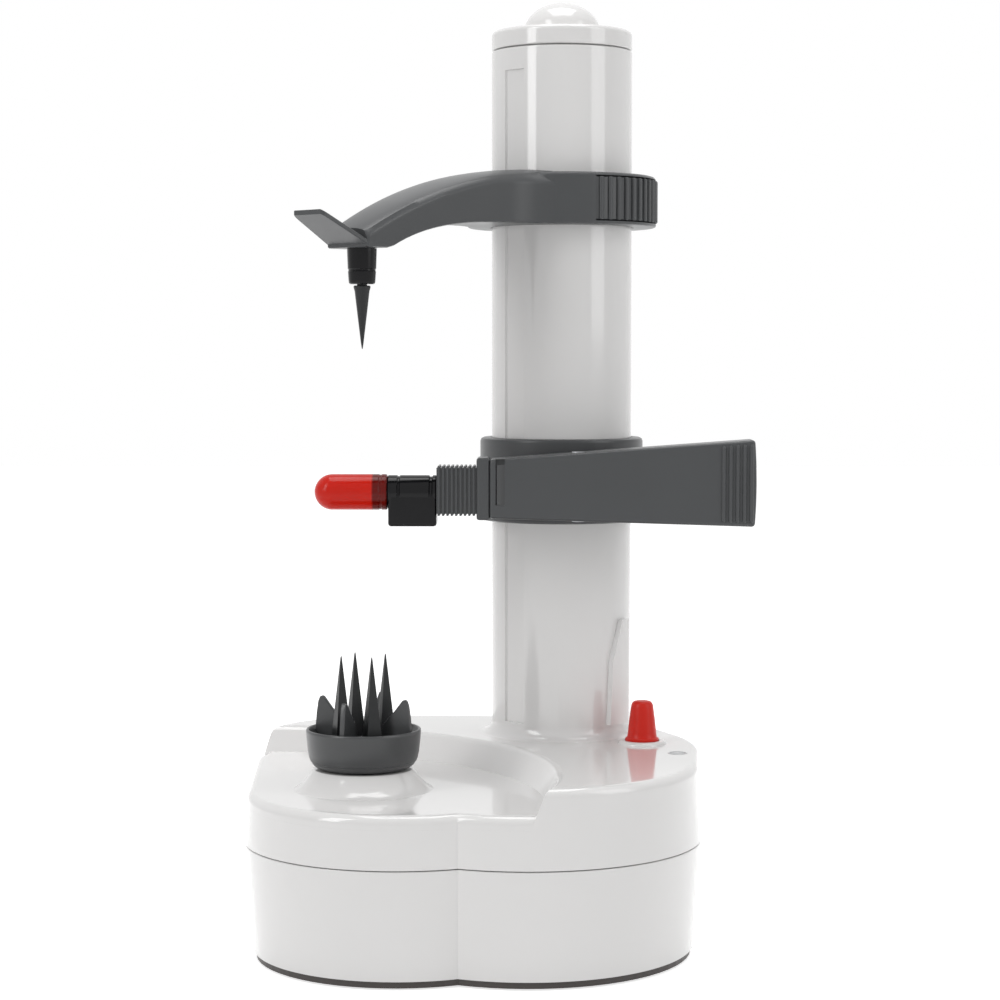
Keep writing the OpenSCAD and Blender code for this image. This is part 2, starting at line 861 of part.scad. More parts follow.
module idler_gear() {
    color("#e8e2cf")
        translate(idler_at + [0, 0, gear_z])
            difference() {
                union() {
                    rotate([0, 0, idler_rot])
                        gear(idler_teeth, gear_module, gear_w, pin_r + run);
                    translate([0, 0, -3])
                        tube(4, pin_r + run, 3 + eps);
                }
                translate([0, 0, gear_w - 1.4])
                    tube(idler_pitch_r - 4, 6, 3);
            }
}

module idler_pin() {
    color("silver")
        translate(idler_at + [0, 0, gear_plate_z])
            union() {
                cylinder(r = pin_r, h = gear_z + gear_w + 2 - gear_plate_z);
                translate([0, 0, gear_plate_t])
                    cylinder(r = pin_r + 2, h = gear_z - 3.2 - gear_plate_z - gear_plate_t);
            }
}

// the plastic sleeve in the pedestal that the spindle turns in
module cup_bearing() {
    color("#d8d4c8")
        translate(cup_at + [0, 0, low_deck_z - 3.4])
            difference() {
                union() {
                    cylinder(r = bearing_r, h = pedestal_top_z - low_deck_z + 3.4);
                    cylinder(r = bearing_r + 1.6, h = 1.2 - eps);
                }
                translate([0, 0, -1])
                    cylinder(r = spindle_r + run, h = 20);
            }
}

module cup_gear() {
    color("#e8e2cf")
        translate(cup_at + [0, 0, gear_z])
            rotate([0, 0, cup_gear_rot])
                gear(end_teeth, gear_module, gear_w, spindle_r);
}

module cup_spindle() {
    color("silver")
        translate(cup_at)
            difference() {
                union() {
                    translate([0, 0, gear_z - 2])
                        cylinder(r = spindle_r, h = cup_floor_z + 5 - gear_z + 2);
                    translate([0, 0, gear_z - 2])
                        cylinder(r = spindle_r + 2, h = 2);
                }
                translate([0, 0, cup_floor_z - 3])
                    cylinder(r = 1.5, h = 20);
            }
}

cup_dish = 3;

// the dark cup with four short fins near its rim
module spiked_cup() {
    color("#4b4d4e")
        translate(cup_at)
            difference() {
                union() {
                    rotate_extrude($fn = 96)
                        polygon(concat(
                            [[0, cup_floor_z]],
                            [for (a = [-90:15:-15])
                                [cup_r - 4.4 + 3 * cos(a), cup_floor_z + 2.4 + 2.4 * sin(a)]],
                            [[cup_r - 0.6, cup_floor_z + 5], [cup_r, cup_rim_z - 1],
                             [cup_r - 0.4, cup_rim_z], [cup_r - 2.2, cup_rim_z],
                             [cup_r - 3.4, cup_rim_z - cup_dish], [0, cup_rim_z - cup_dish]]
                        ));
                    for (a = fin_turns)
                        rotate([0, 0, a])
                            translate([cup_r - 3.6, 0, 0])
                                fin();
                }
                translate([0, 0, cup_floor_z - 1])
                    cylinder(r = spindle_r, h = 6);
                translate([0, 0, cup_floor_z])
                    cylinder(r = 1.5, h = 20);
                for (a = spike_turns)
                    rotate([0, 0, a])
                        translate([spike_ring_r, 0, cup_rim_z - cup_dish - spike_root_h])
                            cylinder(r = spike_root_r, h = 20);
                translate([0, 0, cup_rim_z - cup_dish - 1])
                    cylinder(r = 3, h = 20);
            }
}

fin_turns = [20, 110, 200, 290];
spike_turns = [65, 155, 245, 335];
spike_ring_r = 7;
spike_root_h = 2;

// a short three-cornered fin
module fin() {
    translate([-2.6, 0, 0])
        rotate([90, 0, 0])
            linear_extrude(1.6, center = true)
                polygon([
                    [-5.4, cup_rim_z - cup_dish - 0.5], [4.7, cup_rim_z - cup_dish - 0.5],
                    [4.5, cup_rim_z + 2], [3.7, cup_rim_z + 8.5], [2.7, cup_rim_z + 9.2],
                    [1.7, cup_rim_z + 8.4], [-2.3, cup_rim_z + 2.5]
                ]);
}

module holding_spikes() {
    color("#37393a")
        translate(cup_at)
            for (a = spike_turns)
                rotate([0, 0, a])
                    translate([spike_ring_r, 0, cup_rim_z - cup_dish]) {
                        translate([0, 0, -spike_root_h])
                            cylinder(r = spike_root_r, h = spike_root_h);
                        cylinder(r1 = spike_root_r, r2 = 0.25, h = spike_tip_z - cup_rim_z + cup_dish);
                    }
}

module cup_screw() {
    color("silver")
        translate(cup_at + [0, 0, cup_rim_z - cup_dish - 1])
            rotate([180, 0, 0])
                screw_up(1.5, cup_rim_z - cup_dish - cup_floor_z + 1, 2.8, 1.2);
}

// ---- Column ----

module column_tube() {
    color("white")
        difference() {
            union() {
                translate([0, 0, column_foot_z])
                    cylinder(r = column_r, h = column_top - column_foot_z, $fn = 128);
                translate([0, 0, column_foot_z])
                    cylinder(r = flange_r, h = 3);
            }
            translate([0, 0, column_foot_z - 1])
                cylinder(r = column_bore, h = column_top, $fn = 128);
            rotate([0, 0, cup_angle])
                translate([column_r - groove_depth, -groove_w / 2, deck_z + foot_fillet + 1])
                    cube([10, groove_w, column_top - deck_z - foot_fillet - 8]);
            translate([-slot_w / 2, 0, slot_from])
                cube([slot_w, column_r + 5, slot_to - slot_from]);
            for (a = column_screw_turns)
                rotate([0, 0, a])
                    translate([flange_r - 2.6, 0, column_foot_z - 1])
                        cylinder(r = 1, h = 10);
        }
}

module column_cap() {
    color("white")
        translate([0, 0, column_top])
            difference() {
                union() {
                    translate([0, 0, 0.4])
                        rotate_extrude($fn = 128)
                            polygon(concat(
                                [[0, 0], [column_r, 0]],
                                [for (a = [0:15:90])
                                    [column_r - 1.6 + 1.6 * cos(a), cap_rim_h - 0.4 - 1.6 + 1.6 * sin(a)]],
                                [for (a = [0:10:90])
                                    [cap_dome_r * cos(a), cap_rim_h - 0.4 + cap_dome_h * sin(a)]]
                            ));
                    translate([0, 0, -5])
                        cylinder(r = column_bore, h = 5.4 + eps);
                }
                translate([0, 0, -6])
                    cylinder(r = column_bore - 2, h = 6 + cap_rim_h - 2);
            }
}

module column_screws() {
    color("silver")
        for (a = column_screw_turns)
            rotate([0, 0, a])
                translate([flange_r - 2.6, 0, column_foot_z])
                    screw_up(1, 3 + shell_t - 0.8, 1.8, 1);
}

ramp_turn = -38.5;
ramp_half_w = 4.7;
ramp_out = 1.8;
ramp_top_z = 95;
ramp_foot_z = deck_z + foot_fillet + 0.4;

// the wedge low on the column that swings the peel arm open at the end of its travel
module opening_ramp() {
    color("white")
        intersection() {
            translate([0, 0, deck_z])
                difference() {
                    cylinder(r = column_r + ramp_out, h = 60, $fn = 128);
                    cylinder(r = column_r, h = 60, $fn = 128);
                }
            rotate([0, 0, ramp_turn])
                translate([column_r - 8, 0, 0])
                    rotate([90, 0, 90])
                        linear_extrude(16)
                            polygon([
                                [-ramp_half_w, ramp_foot_z], [ramp_half_w, ramp_foot_z],
                                [ramp_half_w, ramp_top_z], [ramp_half_w - 4, ramp_top_z],
                                [1 - ramp_half_w, ramp_top_z - 13]
                            ]);
        }
}

module screw_foot_bearing() {
    color("#c98f4a")
        translate([0, 0, gear_plate_z])
            difference() {
                union() {
                    cylinder(r = screw_bearing_r, h = gear_plate_t + 2);
                    translate([0, 0, gear_plate_t])
                        cylinder(r = screw_bearing_r + 2, h = 2);
                }
                translate([0, 0, -1])
                    cylinder(r = journal_r + run, h = 10);
            }
}

module screw_top_bearing() {
    color("#d8d4c8")
        translate([0, 0, top_bearing_z])
            difference() {
                cylinder(r = column_bore, h = top_bearing_h);
                translate([0, 0, -1])
                    cylinder(r = journal_r + run, h = top_bearing_h - 1);
                for (a = [0:60:300])
                    rotate([0, 0, a + 30])
                        translate([12, 0, -1])
                            cylinder(r = 3.5, h = top_bearing_h + 2);
            }
}

// the thread is drawn as rings of the thread's pitch and depth
module lead_screw() {
    core_r = screw_r - 1.1;
    turns = floor((thread_to - thread_from) / screw_lead);
    color("#9aa0a6")
        rotate_extrude($fn = 48)
            polygon(concat(
                [[0, screw_foot_z], [journal_r, screw_foot_z], [journal_r, gear_z + gear_w + 0.6],
                 [core_r, gear_z + gear_w + 0.6], [core_r, thread_from]],
                [for (i = [0:turns - 1])
                    let (z = thread_from + i * screw_lead)
                    each [[core_r, z + 1], [screw_r, z + 1.7], [screw_r, z + 2.7], [core_r, z + 3.4]]],
                [[core_r, thread_to], [core_r, top_bearing_z - 1], [journal_r, top_bearing_z - 1],
                 [journal_r, top_bearing_z + top_bearing_h - 2.6], [0, top_bearing_z + top_bearing_h - 2.6]]
            ));
}

module screw_gear() {
    color("#e8e2cf")
        translate([0, 0, gear_z]) {
            rotate([0, 0, screw_gear_rot])
                gear(end_teeth, gear_module, gear_w, journal_r);
            translate([0, 0, gear_plate_z + gear_plate_t + 2.2 - gear_z])
                tube(6, journal_r, gear_z - gear_plate_z - gear_plate_t - 2.2 + eps);
        }
}

switch_size = [5, 12.8, 6.2];
switch_reach = sqrt(pow(column_bore, 2) - pow(switch_size.y / 2, 2));

// a small limit switch on the inner wall of the column, its body on a pad that follows the wall
module limit_switch(z) {
    rotate([0, 0, -20])
        translate([switch_reach - switch_size.x, -switch_size.y / 2, z]) {
            cube(switch_size);
            translate([-1, 3, 2])
                cube([1 + eps, 2, 2]);
        }
}

module upper_limit_switch() {
    color("#222222")
        limit_switch(slot_to - 6);
}

module lower_limit_switch() {
    color("#222222")
        limit_switch(deck_z - 4);
}

// ---- Blade carriage ----

module carriage_collar() {
    color("#55585a")
        difference() {
            union() {
                translate([0, 0, carriage_z])
                    cylinder(r = collar_r, h = carriage_h, $fn = 96);
                translate([pivot_x, arm_y, boss_z])
                    cylinder(r = boss_r, h = boss_h);
                translate([pivot_x - boss_r + 1, arm_y, boss_z])
                    cube([2 * boss_r - 2, -arm_y - collar_bore - 0.5, boss_h]);
            }
            translate([0, 0, carriage_z - 1])
                cylinder(r = collar_bore, h = carriage_h + 2, $fn = 96);
            // the way past the opening ramp
            intersection() {
                translate([0, 0, carriage_z - 1])
                    cylinder(r = column_r + ramp_out + gap, h = carriage_h + 2, $fn = 96);
                rotate([0, 0, ramp_turn])
                    translate([collar_bore - 8, -ramp_half_w - 0.8, carriage_z - 2])
                        cube([12, 2 * ramp_half_w + 1.6, carriage_h + 4]);
            }
            translate([pivot_x, arm_y, boss_z - 1])
                cylinder(r = pivot_r, h = boss_h + 2);
            for (z = carriage_screw_z)
                translate([0, collar_bore - 2, z])
                    rotate([-90, 0, 0]) {
                        cylinder(r = screw_shank_r, h = 10);
                        translate([0, 0, collar_wall + 2 - carriage_screw_sink])
                            cylinder(r = 3, h = 10);
                    }
        }
}

carriage_screw_z = [nut_z + 3, nut_z + nut_h - 3];
carriage_screw_len = 10;
carriage_screw_sink = 1.6;

module carriage_nut() {
    color("#e8e2cf")
        difference() {
            union() {
                translate([0, 0, nut_z])
                    cylinder(r = nut_r, h = nut_h);
                intersection() {
                    translate([-tongue_w / 2, 0, nut_z])
                        cube([tongue_w, 40, nut_h]);
                    translate([0, 0, nut_z])
                        cylinder(r = collar_bore, h = nut_h, $fn = 96);
                }
            }
            translate([0, 0, nut_z - 1])
                cylinder(r = screw_r + run, h = nut_h + 2);
            for (z = carriage_screw_z)
                translate([0, collar_r - carriage_screw_sink - carriage_screw_len - 0.75, z])
                    rotate([-90, 0, 0])
                        cylinder(r = screw_shank_r, h = carriage_screw_len + 10);
        }
}

module carriage_screws() {
    color("silver")
        for (z = carriage_screw_z)
            translate([0, collar_r - carriage_screw_sink, z])
                rotate([90, 0, 0])
                    screw_up(screw_shank_r, carriage_screw_len, 2.8, 1.4);
}

module pivot_pin() {
    color("silver")
        translate([pivot_x, arm_y, pivot_low - 0.4])
            cylinder(r = pivot_r, h = pivot_high - pivot_low + 0.6);
}

spring_wire_r = 0.45;
spring_turns = 4;
spring_pitch = 1.7 * spring_wire_r;

// the spring that presses the blade against the potato, wound round the pivot pin
module arm_spring() {
    coil_r = pivot_r + 0.4 + spring_wire_r;
    color("#8a8f94")
        translate([pivot_x, arm_y, boss_z + boss_h + spring_wire_r]) {
            rotate_extrude($fn = 48)
                for (i = [0:spring_turns - 1])
                    translate([coil_r, i * spring_pitch])
                        circle(spring_wire_r, $fn = 16);
            translate([0, coil_r, 0])
                rod_x(spring_wire_r - 0.03, 9, $fn = 16);
            translate([-9, -coil_r, (spring_turns - 1) * spring_pitch])
                rod_x(spring_wire_r - 0.03, 9, $fn = 16);
        }
}

// side view of the peel arm, its walls moved in by inset
function arm_side(inset) = [
    [arm_left_x + inset, arm_low(arm_left_x) + inset],
    [arm_right_x - inset, arm_low(arm_right_x) + inset],
    [arm_right_x - inset, arm_high(arm_right_x) - inset],
    [arm_left_x + inset, arm_high(arm_left_x) - inset]
];

grip_ribs = 5;
grip_pitch = 2.1;

module peel_arm() {
    color("#5c6062")
        difference() {
            union() {
                translate([0, arm_back, 0])
                    rotate([90, 0, 0])
                        linear_extrude(arm_depth)
                            polygon(arm_side(0));
                for (i = [0:grip_ribs - 1])
                    let (x = arm_right_x - 1.4 - i * grip_pitch)
                    translate([x, arm_front, arm_low(x) + 1])
                        cylinder(r = 0.7, h = arm_high(x) - arm_low(x) - 2, $fn = 16);
            }
            translate([0, arm_back + 1, 0])
                rotate([90, 0, 0])
                    linear_extrude(arm_depth - arm_wall + 1)
                        polygon(arm_side(arm_wall));
            translate([pivot_x, arm_y, pivot_low - 5])
                cylinder(r = pivot_r + run, h = 40);
            // the window beside the neck
            translate([arm_left_x + 1.8, arm_front - 1, arm_mid_z - 5.4])
                cube([2.8, arm_wall + 2, 14]);
        }
}

// the ribbed neck that holds the blade holder
module blade_neck() {
    neck_y = arm_depth - 3;
    color("#55585a")
        difference() {
            union() {
                translate([arm_left_x - collar_len, arm_front + 0.4, arm_left_z - 0.5])
                    cube([collar_len, arm_depth - 0.8, arm_left_h + 1]);
                translate([neck_left_x, arm_y - neck_y / 2, carriage_z + 4.4])
                    cube([neck_len, neck_y, 14]);
                for (i = [0:4])
                    translate([neck_left_x + 0.4 + i * 2.3, arm_y - neck_y / 2 - 0.6, carriage_z + 3.8])
                        cube([1.3, neck_y + 1.2, 15.2]);
                translate([arm_left_x, arm_y - 4, arm_mid_z - 5])
                    cube([arm_wall, 4, 10]);
            }
            translate([neck_left_x - 1, arm_y, blade_z])
                rod_x(2.6, neck_len - 2);
            translate([arm_left_x - eps, arm_y - 5, arm_mid_z - 8])
                cube([arm_wall + 1, 10, 20]);
        }
}

module blade_holder() {
    color("#111111")
        difference() {
            union() {
                translate([holder_left_x, arm_y, blade_z])
                    rod_x(5.2, holder_len);
                translate([holder_left_x + 0.4, arm_y - 5, carriage_z + 0.5])
                    cube([holder_len - 0.4, 10, blade_z - carriage_z - 0.5]);
                translate([holder_left_x - spigot_len, arm_y, blade_z])
                    rod_x(spigot_r, spigot_len + 1);
                translate([neck_left_x - eps, arm_y, blade_z])
                    rod_x(2.6, neck_len - 4);
            }
            translate([holder_left_x - spigot_len - 1, arm_y - 1.2 - blade_t, blade_z - 3])
                cube([spigot_len + 4, blade_t, 6]);
        }
}

blade_t = 0.6;

// the slotted blade, standing on edge in the holder
module peeling_blade() {
    color("silver")
        difference() {
            translate([holder_left_x - blade_len, arm_y - 1.2 - blade_t, blade_z - 3])
                cube([blade_len + 3, blade_t, 6]);
            translate([holder_left_x - blade_len + 2, arm_y - 3, blade_z - 1])
                cube([blade_len - spigot_len - 3, 4, 2]);
        }
}

module blade_guard() {
    wall = 1.2;
    straight = guard_len - guard_r;
    color("#d8281c", 0.85)
        translate([guard_right_x, arm_y, blade_z])
            rotate([0, -90, 0])
                rotate_extrude($fn = 64)
                    polygon(concat(
                        [[spigot_r + run, 0], [guard_r, 0], [guard_r, straight]],
                        [for (a = [15:15:90]) [guard_r * cos(a), straight + guard_r * sin(a)]],
                        [
                            [0, straight + guard_r - wall],
                            [guard_r - wall - 1, straight + 1],
                            [spigot_r + run, straight - 1]
                        ]
                    ));
}

// ---- Upper arm ----

// height of the arm's top and underside at a distance t from the column's axis
function arm_top(t) = ring_z + ring_h + arm_rise - 21.5 * pow(max(0, t - 13) / 81.5, 2.16);
function arm_under(t) = ring_z - tip_drop * pow(min(1, max(0, t - 25) / 59), 3.6);
function arm_half(t) = root_half_w + (tip_half_w - root_half_w) * (t - arm_from) / (arm_to - arm_from);
function arm_section(t) =
    let (
        w = arm_half(t),
        lo = arm_under(t),
        hi = arm_top(t),
        edge = hi - 2 - 2 * max(0, 1 - (t - arm_from) / 20)
    )
    [
        [t, -w, lo], [t, w, lo], [t, w + 0.3, edge - 1.5], [t, w - 0.8, edge], [t, w * 0.6, hi - 0.7],
        [t, 0, hi], [t, -w * 0.6, hi - 0.7], [t, -w + 0.8, edge], [t, -w - 0.3, edge - 1.5]
    ];

module upper_arm() {
    color("#4f5254")
        difference() {
            union() {
                translate([0, 0, ring_z])
                    rotate_extrude($fn = 128)
                        polygon([
                            [ring_bore, 0], [ring_r - 0.4, 0], [ring_r, 0.6], [ring_r, ring_h - 1.2],
                            [ring_r - 1.2, ring_h], [ring_bore, ring_h]
                        ]);
                difference() {
                    rotate([0, 0, cup_angle])
                        loft([for (k = [0:14]) arm_section(arm_from + (arm_to - arm_from) * k / 14)]);
                    translate([0, 0, ring_z - 20])
                        cylinder(r = ring_bore + 1, h = 60, $fn = 128);
                }
                rotate([0, 0, cup_angle])
                    finger_tab();
                // the key that runs in the column's groove
                rotate([0, 0, cup_angle])
                    translate([column_r - groove_depth + 0.3, -groove_w / 2 + 0.4, ring_z])
                        cube([4, groove_w - 0.8, ring_h]);
            }
            // the pocket for the ribbed release
            rotate([0, 0, release_turn])
                difference() {
                    translate([0, -release_half_w - ease, ring_z + 1])
                        cube([60, 2 * (release_half_w + ease), ring_h - 2]);
                    translate([0, 0, ring_z])
                        cylinder(r = release_wall_r, h = ring_h + 1, $fn = 128);
                }
            rotate([0, 0, release_turn])
                translate([20, 0, ring_z + ring_h / 2])
                    rod_x(2 + 0.2, 10);
            translate([cup_x, cup_y, tip_z - 1])
                cylinder(r = 3, h = 5);
        }
}

tab_t = 1.4;

// the thin lever beyond the spike that the hand lifts
module finger_tab() {
    from = cup_reach + 4;
    to = cup_reach + tab_len;
    rise = tab_rise / (to - from);
    low = [for (t = [from, to]) tip_z + (t - from) * rise];
    loft([
        for (k = [0, 1])
            let (t = k == 0 ? from : to, w = k == 0 ? tip_half_w : tip_half_w - 2.45)
            [[t, -w, low[k]], [t, w, low[k]], [t, w, low[k] + tab_t], [t, -w, low[k] + tab_t]]
    ]);
}

// the ribbed pad on the ring: pressed, it frees the arm to slide
module arm_release() {
    color("#4f5254")
        rotate([0, 0, release_turn])
            intersection() {
                union() {
                    translate([0, 0, ring_z + 1 + ease])
                        tube(ring_r - 0.3, release_in_r, ring_h - 2 - 2 * ease, $fn = 128);
                    for (i = [0:rib_count - 1])
                        rotate([0, 0, (i - (rib_count - 1) / 2) * rib_step])
                            translate([ring_r - 0.3, 0, ring_z + 1 + ease])
                                cylinder(r = 0.8, h = ring_h - 2 - 2 * ease, $fn = 20);
                    translate([release_wall_r - 0.6, 0, ring_z + ring_h / 2])
                        rod_x(2, 4);
                }
                translate([0, -release_half_w, ring_z])
                    cube([60, 2 * release_half_w, ring_h]);
            }
}

module spike_bush() {
    color("#161616")
        translate([cup_x, cup_y, tip_z]) {
            difference() {
                union() {
                    translate([0, 0, -bush_h])
                        cylinder(r1 = bush_r - 0.5, r2 = bush_r, h = bush_h);
                    cylinder(r = 3, h = 4 - eps);
                }
                translate([0, 0, -bush_h - 1])
                    cylinder(r = 1.5 + run, h = bush_h);
                translate([0, 0, -3])
                    cylinder(r = 2.4 + run, h = 5);
            }
        }
}

module top_spike() {
    color("#2c2e2f")
        translate([cup_x, cup_y, tip_z - bush_h - 0.4]) {
            translate([0, 0, -top_spike_len])
                cylinder(r1 = 0.2, r2 = top_spike_r, h = top_spike_len);
            cylinder(r = 1.5, h = bush_h - 1);
            translate([0, 0, bush_h - 2.4])
                cylinder(r = 2.4, h = 1.6);
        }
}

upper_housing();
lower_housing();
bottom_plate();
rubber_feet();
battery_door();
battery_door_screw();
battery_cells();
battery_contacts();
housing_screws();
dc_jack();
circuit_board();
power_switch();
power_button();
button_seal();
indicator_lens();
motor();
motor_screws();
motor_shaft();
motor_pinion();
gear_plate();
gear_plate_screws();
compound_gear();
compound_pin();
idler_gear();
idler_pin();
cup_bearing();
cup_gear();
cup_spindle();
spiked_cup();
holding_spikes();
cup_screw();
column_tube();
column_cap();
column_screws();
opening_ramp();
screw_foot_bearing();
screw_top_bearing();
lead_screw();
screw_gear();
upper_limit_switch();
lower_limit_switch();
carriage_collar();
carriage_nut();
carriage_screws();
pivot_pin();
arm_spring();
peel_arm();
blade_neck();
blade_holder();
peeling_blade();
blade_guard();
upper_arm();
arm_release();
spike_bush();
top_spike();
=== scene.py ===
# %% [markdown]
# # Electric potato peeler, dressed in Blender
# The engineering model comes first: every gear, screw and wall is already there, in metres, with its
# origin on the column's axis in the plane of the feet. This lesson builds the surfaces that the eye
# sees on top of that frame, piece by piece, and gives each one its finish.

# %% Load the engineering model
import bpy
import json
import math
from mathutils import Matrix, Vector


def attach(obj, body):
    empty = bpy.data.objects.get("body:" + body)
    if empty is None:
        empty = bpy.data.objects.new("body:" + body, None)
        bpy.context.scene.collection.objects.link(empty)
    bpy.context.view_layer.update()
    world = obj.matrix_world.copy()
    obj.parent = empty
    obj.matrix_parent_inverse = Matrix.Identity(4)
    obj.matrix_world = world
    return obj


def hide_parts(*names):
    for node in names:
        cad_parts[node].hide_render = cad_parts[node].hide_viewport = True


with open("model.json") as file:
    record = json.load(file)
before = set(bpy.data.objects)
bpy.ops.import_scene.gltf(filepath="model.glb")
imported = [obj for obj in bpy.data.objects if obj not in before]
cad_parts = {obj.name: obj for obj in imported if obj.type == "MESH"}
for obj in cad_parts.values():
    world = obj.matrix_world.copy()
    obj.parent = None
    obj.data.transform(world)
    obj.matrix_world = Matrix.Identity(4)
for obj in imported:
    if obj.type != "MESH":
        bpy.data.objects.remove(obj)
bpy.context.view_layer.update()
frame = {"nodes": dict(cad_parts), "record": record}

# %% [markdown]
# ## Camera
# A product view from slightly above the middle of the column, looking a little down. A long lens
# keeps the column's sides nearly parallel. Turning the camera a degree puts the column right of the
# middle, so that the arms that reach to the left have room.

# %% Camera
bpy.ops.object.select_all(action="DESELECT")
bpy.ops.object.camera_add(
    location=(-0.00393, -0.78778, 0.18018),
    rotation=(math.radians(90 - 3.494), 0, math.radians(1.147)),
)
camera = bpy.context.object
camera.data.sensor_width = 36
camera.data.lens = 88.41
bpy.context.scene.camera = camera
print("camera at", tuple(round(v, 3) for v in camera.location), "lens", camera.data.lens)

# %% [markdown]
# ## Finishes
# Moulded plastic is never one flat colour. It has a slow drift in shade from the melt, a fine grain
# from the mould, and gloss that changes a little over the surface. One helper builds that from noise
# in the piece's own coordinates, so every plastic here shares the recipe and differs in its numbers.

# %% Plastic helper
def new_finish(name):
    """A new material, given back with its nodes, its links and its shader."""
    finish = bpy.data.materials.new(name)
    finish.use_nodes = True
    nodes = finish.node_tree.nodes
    return finish, nodes, finish.node_tree.links, nodes["Principled BSDF"]

def set_inputs(node, **values):
    """Sets inputs of a node by their names, where an underscore stands for a blank."""
    for socket, value in values.items():
        node.inputs[socket.replace("_", " ")].default_value = value
    return node

def plastic(name, colour, drift, rough_low, rough_high, grain_mm, grain_depth, **extra):
    """A moulded plastic: colour drifts between two shades, gloss varies, and a fine grain lies on it."""
    finish, nodes, links, shader = new_finish(name)
    set_inputs(shader, **extra)
    where = nodes.new("ShaderNodeTexCoord")
    slow = set_inputs(nodes.new("ShaderNodeTexNoise"), Scale=28, Detail=4)
    fine = set_inputs(nodes.new("ShaderNodeTexNoise"), Scale=1000 / grain_mm, Detail=3)
    shade = nodes.new("ShaderNodeMix")
    shade.data_type = "RGBA"
    dark, light = [c * (1 - drift) for c in colour], [min(1, c * (1 + drift)) for c in colour]
    set_inputs(shade, A=(*dark, 1), B=(*light, 1))
    gloss = set_inputs(nodes.new("ShaderNodeMapRange"), From_Min=0.3, From_Max=0.7,
                       To_Min=rough_low, To_Max=rough_high)
    bump = set_inputs(nodes.new("ShaderNodeBump"), Strength=0.6, Distance=grain_depth / 1000)
    for source in (slow, fine):
        links.new(where.outputs["Object"], source.inputs["Vector"])
    links.new(slow.outputs["Fac"], shade.inputs["Factor"])
    links.new(shade.outputs["Result"], shader.inputs["Base Color"])
    links.new(slow.outputs["Fac"], gloss.inputs["Value"])
    links.new(gloss.outputs["Result"], shader.inputs["Roughness"])
    links.new(fine.outputs["Fac"], bump.inputs["Height"])
    links.new(bump.outputs["Normal"], shader.inputs["Normal"])
    return finish

# %% [markdown]
# The housings are a bright gloss white that reflects the room. The moving arms are a charcoal grey
# with a satin grain. The cup is a shade darker, and the spikes are darker still and smoother.

# %% Plastics of the outside
white_gloss = plastic("white_gloss", (0.80, 0.792, 0.785), 0.012, 0.10, 0.15, 1.6, 0.002,
                      Coat_Weight=0.4, Coat_Roughness=0.04)
charcoal_satin = plastic("charcoal_satin", (0.060, 0.063, 0.066), 0.10, 0.28, 0.38, 0.35, 0.016,
                         Specular_IOR_Level=0.4)
cup_grey = plastic("cup_grey", (0.050, 0.052, 0.054), 0.12, 0.26, 0.38, 0.30, 0.016)
spike_grey = plastic("spike_grey", (0.014, 0.015, 0.016), 0.15, 0.26, 0.36, 0.25, 0.008,
                     Specular_IOR_Level=0.3)
black_gloss = plastic("black_gloss", (0.006, 0.006, 0.007), 0.2, 0.08, 0.14, 0.9, 0.003,
                      Specular_IOR_Level=0.2)
red_cap = plastic("red_cap", (0.66, 0.020, 0.010), 0.05, 0.30, 0.40, 0.5, 0.006,
                  Subsurface_Weight=0.15, Subsurface_Scale=0.002, Specular_IOR_Level=0.25)
lens_grey = plastic("lens_grey", (0.52, 0.53, 0.54), 0.05, 0.10, 0.16, 0.8, 0.003)
band_brown = plastic("band_brown", (0.040, 0.033, 0.030), 0.15, 0.40, 0.55, 0.4, 0.02)
foot_rubber = plastic("foot_rubber", (0.020, 0.020, 0.021), 0.2, 0.65, 0.80, 0.25, 0.03)

# %% [markdown]
# The blade guard is a red moulding that light goes some way into, so it glows at its edges. Its last
# few millimetres slide over the black holder, and there it looks a deep dark red. A ramp along the
# arm's direction mixes the two reds, with the step where the holder begins.

# %% Guard's finish
guard_red = plastic("guard_red", (0.70, 0.015, 0.005), 0.04, 0.12, 0.18, 0.8, 0.003,
                    Transmission_Weight=0.12, IOR=1.49, Subsurface_Weight=0.2, Subsurface_Scale=0.003,
                    Specular_IOR_Level=0.15)

def darker_end(finish, start, stop, shade):
    """Darkens a finish along +X between two places, in mm, down to a share of its colour."""
    nodes, links = finish.node_tree.nodes, finish.node_tree.links
    shader = nodes["Principled BSDF"]
    tint = shader.inputs["Base Color"].links[0].from_socket
    where = nodes.new("ShaderNodeTexCoord")
    split = nodes.new("ShaderNodeSeparateXYZ")
    ramp = set_inputs(nodes.new("ShaderNodeMapRange"), From_Min=start / 1000, From_Max=stop / 1000,
                      To_Min=1, To_Max=shade)
    dim = nodes.new("ShaderNodeVectorMath")
    dim.operation = "SCALE"
    links.new(where.outputs["Object"], split.inputs["Vector"])
    links.new(split.outputs["X"], ramp.inputs["Value"])
    links.new(tint, dim.inputs[0])
    links.new(ramp.outputs["Result"], dim.inputs["Scale"])
    links.new(dim.outputs["Vector"], shader.inputs["Base Color"])

darker_end(guard_red, -58.2, -57.6, 0.22)

# %% [markdown]
# Metal parts get a helper of their own. Turned and drawn metal carries fine lines in one direction,
# so the noise is stretched along the line of the tool before it drives the gloss and the bump.

